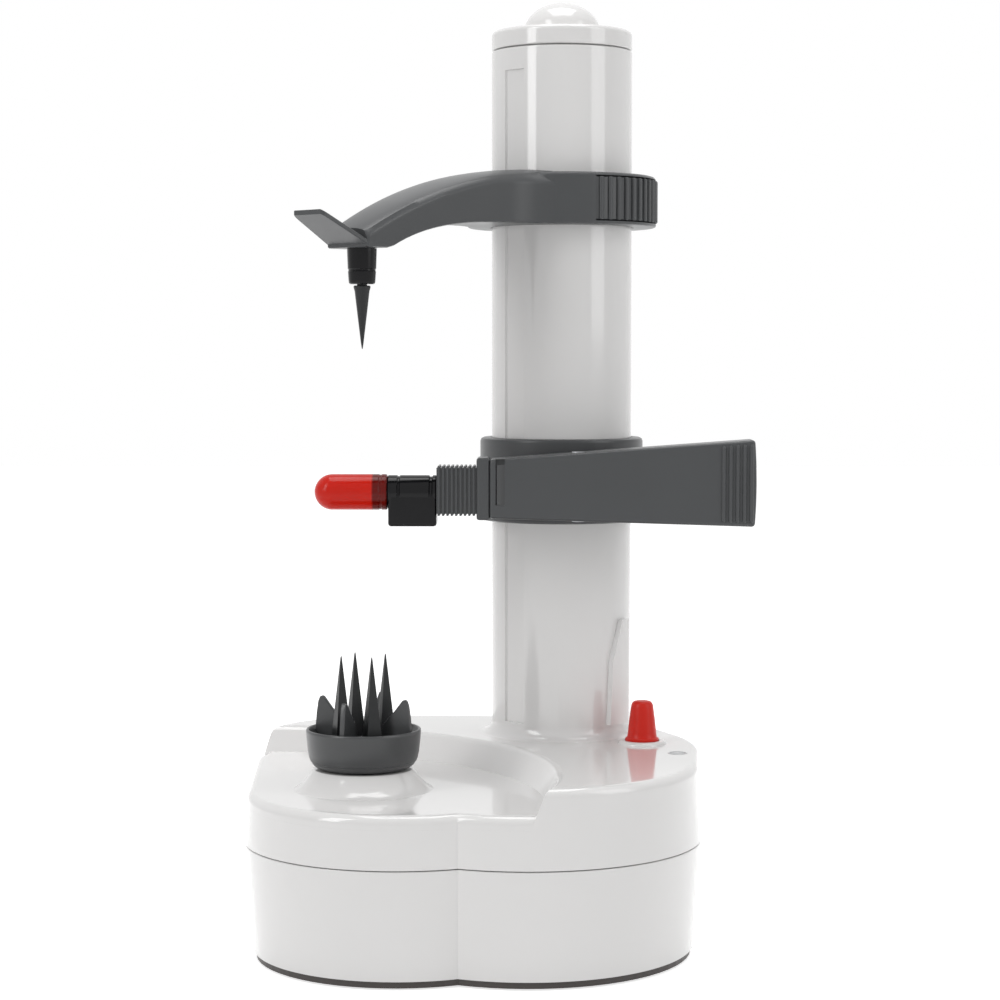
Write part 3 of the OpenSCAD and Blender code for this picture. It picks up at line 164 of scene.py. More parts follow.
# %% Metal helper
def metal(name, colour, rough_low, rough_high, stretch):
    """A worked metal whose fine lines run along the axis that stretch makes long."""
    finish, nodes, links, shader = new_finish(name)
    set_inputs(shader, Metallic=1)
    where = nodes.new("ShaderNodeTexCoord")
    along = set_inputs(nodes.new("ShaderNodeMapping"), Scale=stretch)
    lines = set_inputs(nodes.new("ShaderNodeTexNoise"), Scale=2600, Detail=3)
    tint = nodes.new("ShaderNodeMix")
    tint.data_type = "RGBA"
    set_inputs(tint, A=(*[c * 0.82 for c in colour], 1), B=(*colour, 1))
    gloss = set_inputs(nodes.new("ShaderNodeMapRange"), To_Min=rough_low, To_Max=rough_high)
    bump = set_inputs(nodes.new("ShaderNodeBump"), Strength=0.3, Distance=0.00001)
    links.new(where.outputs["Object"], along.inputs["Vector"])
    links.new(along.outputs["Vector"], lines.inputs["Vector"])
    links.new(lines.outputs["Fac"], tint.inputs["Factor"])
    links.new(tint.outputs["Result"], shader.inputs["Base Color"])
    links.new(lines.outputs["Fac"], gloss.inputs["Value"])
    links.new(gloss.outputs["Result"], shader.inputs["Roughness"])
    links.new(lines.outputs["Fac"], bump.inputs["Height"])
    links.new(bump.outputs["Normal"], shader.inputs["Normal"])
    return finish

# %% [markdown]
# The inside has brass, steel, cream gears, a grey gear plate and a green circuit board. They hardly
# show, but a part that is opened should look like one, so each has its own colour and gloss.

# %% Finishes inside the machine
blade_steel = metal("blade_steel", (0.72, 0.73, 0.75), 0.16, 0.30, (0.05, 1, 1))
plain_steel = metal("plain_steel", (0.55, 0.56, 0.58), 0.24, 0.38, (1, 1, 0.2))
pinion_brass = metal("pinion_brass", (0.72, 0.52, 0.22), 0.22, 0.36, (1, 1, 0.2))
gear_cream = plastic("gear_cream", (0.72, 0.68, 0.56), 0.05, 0.35, 0.50, 0.4, 0.01)
plate_grey = plastic("plate_grey", (0.42, 0.43, 0.45), 0.06, 0.40, 0.55, 0.5, 0.015)
board_green = plastic("board_green", (0.040, 0.20, 0.085), 0.15, 0.30, 0.45, 0.6, 0.01)
cell_gold = plastic("cell_gold", (0.55, 0.40, 0.13), 0.10, 0.20, 0.32, 1.0, 0.004)

# %% [markdown]
# The record lists a material slot for every node. Walking that list gives each piece of the
# engineering model its finish, so nothing inside is left bare when the housing is opened.

# %% Finish every engineering piece
FINISH_OF_SLOT = {
    "white_plastic": white_gloss, "dark_base_plastic": band_brown, "foot_rubber": foot_rubber,
    "grey_plastic": charcoal_satin, "spike_plastic": spike_grey, "black_plastic": black_gloss,
    "red_button_plastic": red_cap, "red_guard_plastic": guard_red, "blade_steel": blade_steel,
    "steel": plain_steel, "gear_plastic": gear_cream, "pinion_brass": pinion_brass,
    "gear_plate_plastic": plate_grey, "lens_plastic": lens_grey,
    "board_laminate": board_green, "cell_jacket": cell_gold,
}
slot_of_node = {part["node"]: part["material_slot"] for part in frame["record"]["subparts"]}
for node, part in frame["nodes"].items():
    part.data.materials.clear()
    part.data.materials.append(FINISH_OF_SLOT[slot_of_node[node]])
print("nodes finished:", len(frame["nodes"]))

# %% [markdown]
# ## Bench tools
# Most pieces here are either turned shapes or bars whose section changes along their length. Both
# begin as a line drawn point by point, just as one clicks it in edit mode. The helpers below draw
# that line by extruding a vertex, then spin it, fill it or bridge it.

# %% Selection and drawing
MM = 0.001

def put_down():
    """Leaves edit mode with nothing selected."""
    if bpy.context.mode != "OBJECT":
        bpy.ops.object.mode_set(mode="OBJECT")
    bpy.ops.object.select_all(action="DESELECT")

def take(part):
    """Selects one object alone and makes it active."""
    put_down()
    part.select_set(True)
    bpy.context.view_layer.objects.active = part

def blank(name):
    """A new object at the origin with an empty mesh, left in edit mode."""
    put_down()
    bpy.ops.mesh.primitive_plane_add(size=MM, location=(0, 0, 0))
    part = bpy.context.object
    part.name = name
    part.data.name = name
    bpy.ops.object.mode_set(mode="EDIT")
    bpy.ops.mesh.delete(type="VERT")
    return part

def draw(points, closed=False):
    """Draws a line through points, in mm, by extruding a vertex. A closed line meets its start."""
    bpy.ops.mesh.select_all(action="DESELECT")
    bpy.ops.mesh.primitive_plane_add(size=MM, location=Vector(points[0]) * MM)
    bpy.ops.mesh.merge(type="CENTER")
    path = list(points) + ([points[0]] if closed else [])
    for here, there in zip(path, path[1:]):
        step = (Vector(there) - Vector(here)) * MM
        bpy.ops.mesh.extrude_region_move(TRANSFORM_OT_translate={"value": step})

def weld():
    """Selects the whole mesh and merges its doubles."""
    bpy.ops.mesh.select_all(action="SELECT")
    bpy.ops.mesh.remove_doubles(threshold=0.000002)

def tidy(part):
    """Merges doubles, turns all faces outwards and leaves edit mode."""
    weld()
    bpy.ops.mesh.normals_make_consistent(inside=False)
    put_down()
    return part

# %% Turned, filled and bridged shapes
def corners(u0, v0, u1, v1):
    """The four corners of a rectangle, in order round it."""
    return [(u0, v0), (u1, v0), (u1, v1), (u0, v1)]

def turned(name, profile, at=(0, 0), steps=96, closed=False):
    """Spins a line of (radius, height) points, in mm, once round the upright line through at."""
    part = blank(name)
    draw([(at[0] + r, at[1], z) for r, z in profile], closed)
    bpy.ops.mesh.select_all(action="SELECT")
    bpy.ops.mesh.spin(steps=steps, angle=math.tau, center=(at[0] * MM, at[1] * MM, 0), axis=(0, 0, 1))
    return tidy(part)

def slab(name, outline, push):
    """Fills a closed outline, in mm, and extrudes it."""
    part = blank(name)
    draw(outline, closed=True)
    weld()
    bpy.ops.mesh.edge_face_add()
    bpy.ops.mesh.extrude_region_move(TRANSFORM_OT_translate={"value": Vector(push) * MM})
    return tidy(part)

def bridged(name, sections):
    """Bridges a row of closed sections, in mm, and caps both ends."""
    part = blank(name)
    for section in sections:
        draw(section, closed=True)
        weld()
    bpy.ops.mesh.select_all(action="SELECT")
    bpy.ops.mesh.bridge_edge_loops()
    bpy.ops.mesh.select_all(action="DESELECT")
    bpy.ops.mesh.select_mode(type="EDGE")
    bpy.ops.mesh.select_non_manifold(extend=False, use_wire=False, use_multi_face=False,
                                     use_non_contiguous=False, use_verts=False)
    bpy.ops.mesh.edge_face_add()
    bpy.ops.mesh.select_mode(type="VERT")
    return tidy(part)

# %% Cutting, joining and rounding
def apply_last(part):
    """Applies the modifier that was added last."""
    bpy.ops.object.modifier_apply(modifier=part.modifiers[-1].name)

def combine(part, tool, how):
    """Cuts the tool from the part, or adds it, and removes the tool."""
    take(part)
    bpy.ops.object.modifier_add(type="BOOLEAN")
    change = part.modifiers[-1]
    change.operation = how
    change.solver = "EXACT"
    change.object = tool
    apply_last(part)
    bpy.data.objects.remove(tool)
    return part

def round_edges(part, width, segments=3, angle=35):
    """Rounds every edge that turns by more than the angle, width in mm."""
    take(part)
    bpy.ops.object.modifier_add(type="BEVEL")
    change = part.modifiers[-1]
    change.width = width * MM
    change.segments = segments
    change.limit_method = "ANGLE"
    change.angle_limit = math.radians(angle)
    change.miter_outer = "MITER_ARC"
    apply_last(part)
    return part

def cylinders(name, rows, vertices=48):
    """One mesh of upright cylinders: a row is (x, y, low z, high z, radius)."""
    part = blank(name)
    for x, y, low, high, r in rows:
        bpy.ops.mesh.select_all(action="DESELECT")
        bpy.ops.mesh.primitive_cone_add(
            vertices=vertices, radius1=r * MM, radius2=r * MM, depth=(high - low) * MM,
            location=(x * MM, y * MM, (low + high) / 2 * MM))
    return tidy(part)

def dress(part, finish, body, slot, *nodes, smooth=32):
    """Smooths a finished piece, gives it its finish and hangs it on its body of the machine."""
    take(part)
    bpy.ops.object.mode_set(mode="EDIT")
    bpy.ops.mesh.select_all(action="SELECT")
    bpy.ops.mesh.remove_doubles(threshold=0.0000006)
    bpy.ops.object.mode_set(mode="OBJECT")
    bpy.ops.object.shade_smooth_by_angle(angle=math.radians(smooth))
    bpy.ops.object.modifier_add(type="WEIGHTED_NORMAL")
    part.modifiers[-1].keep_sharp = True
    apply_last(part)
    part.data.materials.clear()
    part.data.materials.append(finish)
    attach(part, body)
    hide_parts(*nodes)
    size = [round(d * 1000, 1) for d in part.dimensions]
    print(part.name, len(part.data.polygons), "faces, mm", size)
    return part

# %% [markdown]
# ## Column and cap
# The column is one long white tube. It has a shallow guide groove that faces the cup and a slot at
# the back for the carriage's tongue. A tube could be a cylinder with a thickness, but drawing its
# wall as a closed line and spinning it gives the foot flange and the soft top edge in one go. The
# groove's tool is wider outside than at its floor, so the groove's sides lean and catch the light.

# %% Column tube
COLUMN_R, COLUMN_BORE, COLUMN_FOOT, COLUMN_TOP = 22.3, 20.1, 52.4, 274.5
CUP = (-59, -64)
CUP_TURN = math.atan2(CUP[1], CUP[0])
FLANGE_R, FLANGE_TOP = 27.3, COLUMN_FOOT + 3
column = turned("column_shell", [
    (COLUMN_BORE, COLUMN_FOOT), (FLANGE_R, COLUMN_FOOT), (FLANGE_R, FLANGE_TOP), (COLUMN_R, FLANGE_TOP),
    (COLUMN_R, COLUMN_TOP - 0.5), (COLUMN_R - 0.15, COLUMN_TOP - 0.15), (COLUMN_R - 0.5, COLUMN_TOP),
    (COLUMN_BORE, COLUMN_TOP),
], steps=192, closed=True)

# %% Groove and slot
def along_arm(t, side, z):
    """A point at distance t from the column's axis towards the cup, and side to the left of that line."""
    return (t * math.cos(CUP_TURN) - side * math.sin(CUP_TURN),
            t * math.sin(CUP_TURN) + side * math.cos(CUP_TURN), z)

CUTS_FOOT, OUTSIDE = 62.6, 30
GROOVE_FLOOR, GROOVE_HALF, GROOVE_LEAN, GROOVE_LONG = COLUMN_R - 1, 3.6, 0.7, 204.9
SLOT_HALF, SLOT_LONG = 4, 193.9
groove_side = GROOVE_HALF + GROOVE_LEAN * (OUTSIDE - GROOVE_FLOOR)
groove = slab("groove_tool", [along_arm(t, side, CUTS_FOOT) for t, side in (
    (GROOVE_FLOOR, -GROOVE_HALF), (OUTSIDE, -groove_side), (OUTSIDE, groove_side),
    (GROOVE_FLOOR, GROOVE_HALF))], (0, 0, GROOVE_LONG))
combine(column, groove, "DIFFERENCE")
back_slot = slab("slot_tool", [(x, y, CUTS_FOOT) for x, y in corners(-SLOT_HALF, 10, SLOT_HALF, OUTSIDE)],
                 (0, 0, SLOT_LONG))
combine(column, back_slot, "DIFFERENCE")
dress(column, white_gloss, "base", "white_plastic", "column_tube")

# %% [markdown]
# The cap closes the column with a short straight rim, a rounded edge and a low dome in the middle.
# It is a turned shape, so its profile is drawn once, with a small hollow where the dome meets the
# rim's top, and spun.

# %% Column cap
def arc(cx, cz, r, start, end, steps):
    """Points on an arc of a profile, angles in degrees from the outward direction."""
    return [(cx + r * math.cos(math.radians(start + (end - start) * k / steps)),
             cz + r * math.sin(math.radians(start + (end - start) * k / steps))) for k in range(steps + 1)]

CAP_TOP, CAP_ROUND = COLUMN_TOP + 6.4, 1.6
DOME_R, DOME_RISE = 12, 9.1
dome = [(DOME_R * math.cos(math.radians(a)), CAP_TOP + DOME_RISE * math.sin(math.radians(a)))
        for a in range(8, 90, 6)]
plug_in, plug_out, plug_low = COLUMN_BORE - 2.1, COLUMN_BORE - 0.02, COLUMN_TOP - 5
cap = turned("column_cap_shell", [
    (0, COLUMN_TOP + 4), (plug_in, COLUMN_TOP + 4), (plug_in, plug_low), (plug_out, plug_low),
    (plug_out, COLUMN_TOP + 0.4), (COLUMN_R - 0.3, COLUMN_TOP + 0.4), (COLUMN_R, COLUMN_TOP + 0.7),
    *arc(COLUMN_R - CAP_ROUND, CAP_TOP - CAP_ROUND, CAP_ROUND, 0, 90, 8),
    (12.8, CAP_TOP), (12.3, CAP_TOP + 0.3), *dome, (0, CAP_TOP + DOME_RISE),
], steps=192)
dress(cap, white_gloss, "base", "white_plastic", "column_cap")

# %% [markdown]
# ## Base
# Seen from above, the base is five round lobes that run into each other, with a cleft at the front
# where two of them meet. A drafted round lobe is a cone, so each lobe starts as a cone. A convex hull
# over neighbouring cones gives the straight tangents between them, and joining the two hulls leaves
# the sharp cleft. The same helper, with other insets, also makes the hollow inside.

# %% Lobed body
LOBES = [(-47.8, -63, 46.5), (-10.5, -57, 52.3), (-12, -30, 55.6), (-2, 0, 34), (-56, -8, 42)]
SEAM, LOW_DECK, HIGH_DECK, SHELL = 34.7, 50, 57.6, 2.2
HAIR = 0.04  # keeps two surfaces that would meet a hair apart

def hulled(name, lobes, rings):
    """The convex hull of a few lobes. Each ring is (inset, height), in mm, one circle on every lobe."""
    part = blank(name)
    for x, y, r in lobes:
        for inset, z in rings:
            bpy.ops.mesh.select_all(action="DESELECT")
            bpy.ops.mesh.primitive_circle_add(
                vertices=144, radius=(r - inset) * MM, location=(x * MM, y * MM, z * MM))
    bpy.ops.mesh.select_all(action="SELECT")
    bpy.ops.mesh.convex_hull(join_triangles=True)
    bpy.ops.mesh.select_all(action="SELECT")
    bpy.ops.mesh.dissolve_limited(angle_limit=math.radians(0.05))
    return tidy(part)

def lobed(name, inset_low, low, inset_high, high, edge=0):
    """The whole base between two heights; edge rounds its top rim, in mm."""
    lean = (inset_high - inset_low) / (high - low)
    side = inset_high - lean * edge
    rings = [(inset_low, low), (side, high - edge)]
    if edge:
        turns = [math.radians(a) for a in range(15, 91, 15)]
        rings += [(side + edge * (1 - math.cos(a)), high - edge + edge * math.sin(a)) for a in turns]
    x, y, r = LOBES[4]
    left = [LOBES[0], (x, y, r - HAIR)]
    part = hulled(name, LOBES[1:], rings)
    return combine(part, hulled("left_lobe", left, rings), "UNION")

# %% [markdown]
# The upper housing has two decks. The low one carries the cup, and the high one carries the column and
# the button. Each deck is a lobed body with a rounded rim. A large round tool cuts the high one away
# where the potato turns. The step leans back, so the tool's circles shift with height, and a flare at
# its top rounds the step's edge. The low body then fills the space under the cut. It is a hair
# smaller, so that the two walls never share a surface.

# %% Upper housing, outside
LEAN, DECK_ROUND, NEST = 0.05, 2.6, 0.03
STEP, STEP_R, STEP_ROUND = (-95, -88), 90, 1.4

def step_circle(grow, z, count=240):
    """One circle of the step at height z, made bigger by grow, in mm."""
    x, y = STEP[0] + 0.55 * (z - LOW_DECK), STEP[1] + 0.72 * (z - LOW_DECK)
    turns = [math.tau * k / count for k in range(count)]
    return [(x + (STEP_R + grow) * math.cos(a), y + (STEP_R + grow) * math.sin(a), z) for a in turns]

upper = lobed("upper_housing_shell", 0, SEAM, (HIGH_DECK - SEAM) * LEAN, HIGH_DECK, DECK_ROUND)
step_rim = [step_circle(STEP_ROUND * (1 - math.cos(a)), HIGH_DECK - STEP_ROUND + STEP_ROUND * math.sin(a))
            for a in (0, 0.4, 0.8, 1.2, math.pi / 2)]
step_tool = [step_circle(0, LOW_DECK - 4), *step_rim, step_circle(STEP_ROUND, HIGH_DECK + 1)]
combine(upper, bridged("step_tool", step_tool), "DIFFERENCE")
low_deck = lobed("low_deck", NEST + 2 * LEAN, SEAM + 2, NEST + (LOW_DECK - SEAM) * LEAN, LOW_DECK, DECK_ROUND)
combine(upper, low_deck, "UNION")

# %% [markdown]
# The housing is a shell. Its hollow follows both decks one wall thickness further in. The hollow under
# the high deck keeps clear of the step, so the step's wall has its thickness too.

# %% Upper housing, hollow
low_roof, high_roof = LOW_DECK - SHELL, HIGH_DECK - SHELL
room = lobed("low_room", SHELL + HAIR - LEAN, SEAM - 1,
             SHELL + HAIR + (LOW_DECK - SHELL - SEAM) * LEAN, low_roof)
high_room = lobed("high_room", SHELL + 2 * LEAN, SEAM + 2,
                  SHELL + (HIGH_DECK - SHELL - SEAM) * LEAN, high_roof)
step_room = [step_circle(SHELL + 1, LOW_DECK - 6), step_circle(SHELL + 1, HIGH_DECK)]
combine(high_room, bridged("step_room", step_room), "DIFFERENCE")
combine(room, high_room, "UNION")
combine(upper, room, "DIFFERENCE")
print("upper housing faces:", len(upper.data.polygons))

# %% [markdown]
# Three forms stand on the decks: the round shoulder under the cup, the curved foot where the column
# meets the deck, and the low boss round the button. All are turned shapes, so their flare is part
# of the profile. They are joined on, and then one set of cylinders cuts every bore.

# %% Shoulder, column foot and button boss
BUTTON, LENS = (25.2, -25.5), (35.3, -44.6)
FOOT_R, FOOT_TOP, FOOT_FLARE = 26.3, 61.6, 4
shoulder = turned("shoulder", [
    (0, 48.5), (21.2, 48.5), (20.6, 50.02), (19.6, 50.5), (18.3, 51.6), (17.1, 53.0), (16.0, 54.6),
    (15.2, 55.7), (14.8, 56.05), (14.3, 56.1), (0, 56.1),
], CUP, 144)
combine(upper, shoulder, "UNION")
foot = turned("column_foot", [
    (0, 55.7), (26.72, 55.7), *arc(FOOT_R, FOOT_TOP, FOOT_FLARE, -84, -180, 12), (0, FOOT_TOP),
], (0, 0), 192)
combine(upper, foot, "UNION")
boss = turned("button_boss", [
    (0, 54), (7.6, 54), (7.6, 57.5), (7.5, 57.9), (7.2, 58.3), (6.7, 58.55), (6.3, 58.6), (0, 58.6),
], BUTTON, 96)
combine(upper, boss, "UNION")

# %% [markdown]
# Inside, posts hang from the decks for the housing screws, the gear plate and the circuit board. They
# are plain cylinders joined on one by one. Then each place that something passes through is bored.

# %% Posts inside and every bore
SCREWS = [(-80, -34), (-62, 24), (22, -74), (-41, -99)]
PLATE_POSTS = [(-84, -58), (-30, -86), (-36, 16), (12, -60)]
BOARD_POSTS = [(18, -50), (34, -50)]
POST_R, THREAD_R = 4, 1.5
COLUMN_SEAT_R, BEARING_R, STEM_R = COLUMN_R - 0.02, 6, 3.05

def under_deck(x, y):
    """The height inside the deck's plate above a place, where a post ends."""
    return (HIGH_DECK if math.dist((x, y), STEP) > STEP_R + 2 * SHELL else LOW_DECK) - SHELL / 2

posts = ([(x, y, SEAM + 0.2, under_deck(x, y), POST_R) for x, y in SCREWS]
         + [(x, y, 32, under_deck(x, y), 3) for x, y in PLATE_POSTS]
         + [(x, y, 37.3, under_deck(x, y), 2) for x, y in BOARD_POSTS]
         + [(*CUP, 47.4, 49, 8)])
for post in posts:
    combine(upper, cylinders("post", [post]), "UNION")
bores = ([(0, 0, 30, 70, COLUMN_SEAT_R), (*CUP, 40, 60, BEARING_R),
          (*BUTTON, 40, 70, STEM_R)]
         + [(x, y, 30, 43.7, THREAD_R) for x, y in SCREWS]
         + [(x, y, 28, 38.6, THREAD_R) for x, y in PLATE_POSTS])
combine(upper, cylinders("bores", bores, 96), "DIFFERENCE")
wells = [(*BUTTON, 55.9, 70, 5.55), (*LENS, 56.4, 60, 3.02)]
combine(upper, cylinders("wells", wells, 96), "DIFFERENCE")
dress(upper, white_gloss, "base", "white_plastic", "upper_housing")

# %% [markdown]
# The lower housing is the drafted wall under the seam. A lip above it locates the upper housing, so
# its outside is two lobed bodies on top of each other. The seam itself is the open line of a third
# of a millimetre that stays between the two shells, with a small round on its lower edge.

# %% Lower housing
DRAFT, WALL_FOOT, SEAM_GAP = 2.4, 2.6, 0.34
LIP_IN, LIP_WALL, SCREW_BORE_R = 2.5, 1.4, 1.8
lower = lobed("lower_housing_shell", DRAFT, WALL_FOOT, 0, SEAM - SEAM_GAP, 0.3)
combine(lower, lobed("lip", LIP_IN, SEAM - 6, LIP_IN, SEAM + 2), "UNION")
combine(lower, lobed("low_room", 4.6, 1.6, 2.8, 26.7), "DIFFERENCE")
combine(lower, lobed("lip_room", LIP_IN + LIP_WALL, 26, LIP_IN + LIP_WALL, SEAM + 3), "DIFFERENCE")
for x, y in SCREWS:
    combine(lower, cylinders("boss", [(x, y, WALL_FOOT, SEAM, POST_R)]), "UNION")
combine(lower, cylinders("screw_bores", [(x, y, 0, 40, SCREW_BORE_R) for x, y in SCREWS]
                         + [(x, y, SEAM, SEAM + 5, 4.3) for x, y in SCREWS]), "DIFFERENCE")

# %% [markdown]
# The supply jack looks out of the back wall. Its hole is cut by a turned rod that is laid down.

# %% Jack hole
def turn_mesh(part, degrees, axis, center=(0, 0)):
    """Turns the mesh of a part about a centre, in mm, and stays in edit mode."""
    take(part)
    bpy.ops.object.mode_set(mode="EDIT")
    bpy.ops.mesh.select_all(action="SELECT")
    bpy.ops.transform.rotate(value=math.radians(degrees), orient_axis=axis,
                             center_override=(center[0] * MM, center[1] * MM, 0))

def level_bore(name, profile, x, z):
    """A turned tool laid down so that its axis runs to the back, at x and height z, in mm."""
    tool = turned(name, profile, (0, 0), 48)
    turn_mesh(tool, 90, "X")
    bpy.ops.transform.translate(value=(x * MM, 0, z * MM))
    put_down()
    return tool

JACK_X, JACK_Z, JACK_R = -22, 19, 5.3
jack_hole = level_bore("jack_hole", [(0, 20), (JACK_R, 20), (JACK_R, 40), (0, 40)], JACK_X, JACK_Z)
combine(lower, jack_hole, "DIFFERENCE")
dress(lower, white_gloss, "base", "white_plastic", "lower_housing")

# %% [markdown]
# ## Spiked cup
# The cup is a turned bowl with a thin raised lip, a fine line near its foot, and a shallow dish for
# the potato. Four thin fins stand at the rim. A fin is a flat blade with a leaning outer edge, so its
# outline is drawn, pushed to its thickness and given soft edges. One fin is made, and the other
# three are copies turned about the cup's axis.

# %% Cup bowl
cup = turned("cup_bowl", [
    (0, 56.4), (12.6, 56.4), (13.6, 56.52), (14.4, 56.9), (15.0, 57.4), (15.35, 57.95), (15.45, 58.35),
    (15.8, 58.55), (16.15, 59.5), (16.5, 61.2), (16.75, 63.4), (16.95, 65.6), (17.05, 66.9), (17.1, 67.3),
    (17.05, 67.7), (16.85, 67.95), (16.5, 68.0), (16.2, 67.85), (16.0, 67.4), (15.5, 66.4), (14.9, 65.7),
    (14.2, 65.25), (13.4, 65.05), (12.6, 65.0), (0, 65.0),
], CUP, 144)
combine(cup, cylinders("cup_bore", [(*CUP, 50, 61.4, 4)]), "DIFFERENCE")
cup_sink = turned("cup_screw_sink", [(0, 60), (1.5, 60), (1.5, 64), (3, 64), (3, 70), (0, 70)], CUP, 48)
combine(cup, cup_sink, "DIFFERENCE")

# %% Fins
def turn_copy(part, degrees, center):
    """A copy with its own mesh, turned about an upright line."""
    take(part)
    bpy.ops.object.duplicate()
    twin = bpy.context.object
    turn_mesh(twin, degrees, "Z", center)
    put_down()
    return twin

def join(parts):
    """Joins objects into the first of them."""
    put_down()
    for part in parts:
        part.select_set(True)
    bpy.context.view_layer.objects.active = parts[0]
    bpy.ops.object.join()
    return bpy.context.object

FIN_T = 1.6
fin_outline = [(5.5, 64.5), (15.6, 64.5), (15.45, 68.2), (15.1, 72), (14.6, 75.4), (14.1, 76.7), (13.5, 77.2),
               (12.8, 76.9), (12.0, 75.9), (10.2, 73.6), (8.0, 71.2), (6.4, 69.2)]
fin = slab("fin", [(CUP[0] + x, CUP[1] - FIN_T / 2, z) for x, z in fin_outline], (0, FIN_T, 0))
round_edges(fin, 0.3, 2)
fins = [turn_copy(fin, degrees, CUP) for degrees in (20, 110, 200, 290)]
bpy.data.objects.remove(fin)
for blade in fins:
    combine(cup, blade, "UNION")
dress(cup, cup_grey, "turntable", "grey_plastic", "spiked_cup")

# %% [markdown]
# ## Holding spikes
# The four spikes that grip the potato from below are slender four-sided spears. Each is a square
# section bridged to a tiny square tip, and its long edges get a fine bevel so that they catch light.
# One spike is made, and three turned copies stand on the same circle.

# %% Holding spikes
def square(cx, cy, z, half):
    """A level square round a centre, with half its side."""
    return [(x, y, z) for x, y in corners(cx - half, cy - half, cx + half, cy + half)]

SPIKE_RING = 7
spike_halves = [(63, 1.58), (64.6, 1.58), (65.2, 2.4), (89.4, 0.2), (90, 0.08)]
spike = bridged("spike", [square(CUP[0] + SPIKE_RING, CUP[1], z, half) for z, half in spike_halves])
round_edges(spike, 0.25, 2)
spikes = join([turn_copy(spike, degrees, CUP) for degrees in (65, 155, 245, 335)])
bpy.data.objects.remove(spike)
spikes.name = "holding_spikes_spears"
dress(spikes, spike_grey, "turntable", "spike_plastic", "holding_spikes")

# %% [markdown]
# ## Button and lens
# The button is a soft red cone with a domed top and a thin lip at its foot. It is one turned shape,
# with the stem that goes down to the switch. The lens beside it is a small grey dome in a ring.

# %% Power button
button = turned("power_button_cap", [
    (0, 48.7), (3, 48.7), (3, 58.2), (5.05, 58.2), (5.25, 58.4), (5.25, 59.15), (5.05, 59.4), (4.8, 59.45),
    (4.62, 59.7), (4.45, 61), (3.98, 65.5), (3.5, 69.0), (3.36, 69.7), (3.1, 70.3), (2.6, 70.75),
    (1.8, 70.95), (0.9, 71.0), (0, 71.0),
], BUTTON, 96)
dress(button, red_cap, "button", "red_button_plastic", "power_button")

# %% Lens
lens = turned("indicator_lens_dome", [
    (0, 56.4), (3, 56.4), (3, 57.55), (2.85, 57.7), (2.55, 57.7), (2.4, 57.5), (2.25, 57.5), (2.1, 57.62),
    (1.2, 57.74), (0.5, 57.79), (0, 57.8),
], LENS, 64)
dress(lens, lens_grey, "base", "lens_plastic", "indicator_lens")

# %% [markdown]
# ## Opening ramp
# Low on the column a white pad stands out, with a slanted edge. When the carriage comes down, its
# edge leads the blade arm away from the potato. The pad follows the column, so a flat outline is
# pushed outwards and only what lies in a turned ring is kept. Its edges are softened.

# %% Opening ramp
RAMP_TURN, RAMP_HALF, RAMP_OUT = math.radians(-38.5), 4.7, 1.8
RAMP_FOOT, RAMP_TOP = 62, 95

def on_ramp(r, s, z):
    """A point at distance r outwards and s sideways in the ramp's own direction."""
    return (r * math.cos(RAMP_TURN) - s * math.sin(RAMP_TURN),
            r * math.sin(RAMP_TURN) + s * math.cos(RAMP_TURN), z)

ramp_outline = [(-RAMP_HALF, RAMP_FOOT), (RAMP_HALF, RAMP_FOOT), (RAMP_HALF, RAMP_TOP),
                (RAMP_HALF - 4, RAMP_TOP), (1 - RAMP_HALF, 82)]
ramp = slab("opening_ramp_wedge", [on_ramp(16, s, z) for s, z in ramp_outline], on_ramp(12, 0, 0))
ring_in, ring_out, ring_low, ring_high = COLUMN_R + 0.01, COLUMN_R + RAMP_OUT, RAMP_FOOT - 2, RAMP_TOP + 3
ramp_ring = turned("ramp_ring", corners(ring_in, ring_low, ring_out, ring_high), steps=192, closed=True)
combine(ramp, ramp_ring, "INTERSECT")
round_edges(ramp, 0.35, 3, 40)
dress(ramp, white_gloss, "base", "white_plastic", "opening_ramp")

# %% [markdown]
# ## Carriage
# The carriage slides on the column. Its collar is a turned ring with soft rims and a hidden groove
# where it passes the ramp. A boss in front of it carries the pivot of the blade arm.

# %% Carriage collar
ARM_Y, PIVOT_X, CARRIAGE = -37.6, 5, 126
RUN_R, COLLAR_R, WEB_HALF, GATE_R, GATE_HALF = 22.65, 26, 3.2, 24.45, 5.5
collar = turned("carriage_collar_ring", [(r, CARRIAGE + rise) for r, rise in (
    (RUN_R, 0.5), (23.1, 0), (25.2, 0), (25.8, 0.3), (COLLAR_R, 0.9), (COLLAR_R, 25.2), (25.7, 26),
    (24.9, 26.4), (23.1, 26.4), (RUN_R, 25.9))], steps=192, closed=True)
boss = cylinders("pivot_boss", [(PIVOT_X, ARM_Y, 131.1, 142.1, 4.2)], 64)
web = slab("boss_web", [(PIVOT_X + x, y, 131.2) for x, y in corners(-WEB_HALF, ARM_Y, WEB_HALF, -22.9)],
           (0, 0, 10.8))
combine(boss, web, "UNION")
combine(collar, boss, "UNION")
combine(collar, cylinders("pivot_bore", [(PIVOT_X, ARM_Y, 130, 143, 2)], 48), "DIFFERENCE")
gate = slab("ramp_gate", [on_ramp(r, s, CARRIAGE - 1) for r, s in corners(14, -GATE_HALF, 27, GATE_HALF)],
            (0, 0, 28.5))
gate_depth = cylinders("gate_depth", [(0, 0, CARRIAGE - 2, CARRIAGE + 30, GATE_R)], 192)
combine(gate, gate_depth, "INTERSECT")
combine(collar, gate, "DIFFERENCE")

# %% [markdown]
# Two screws at the back hold the tongue that runs in the column's slot. Both stepped holes are cut by
# the same laid profile.

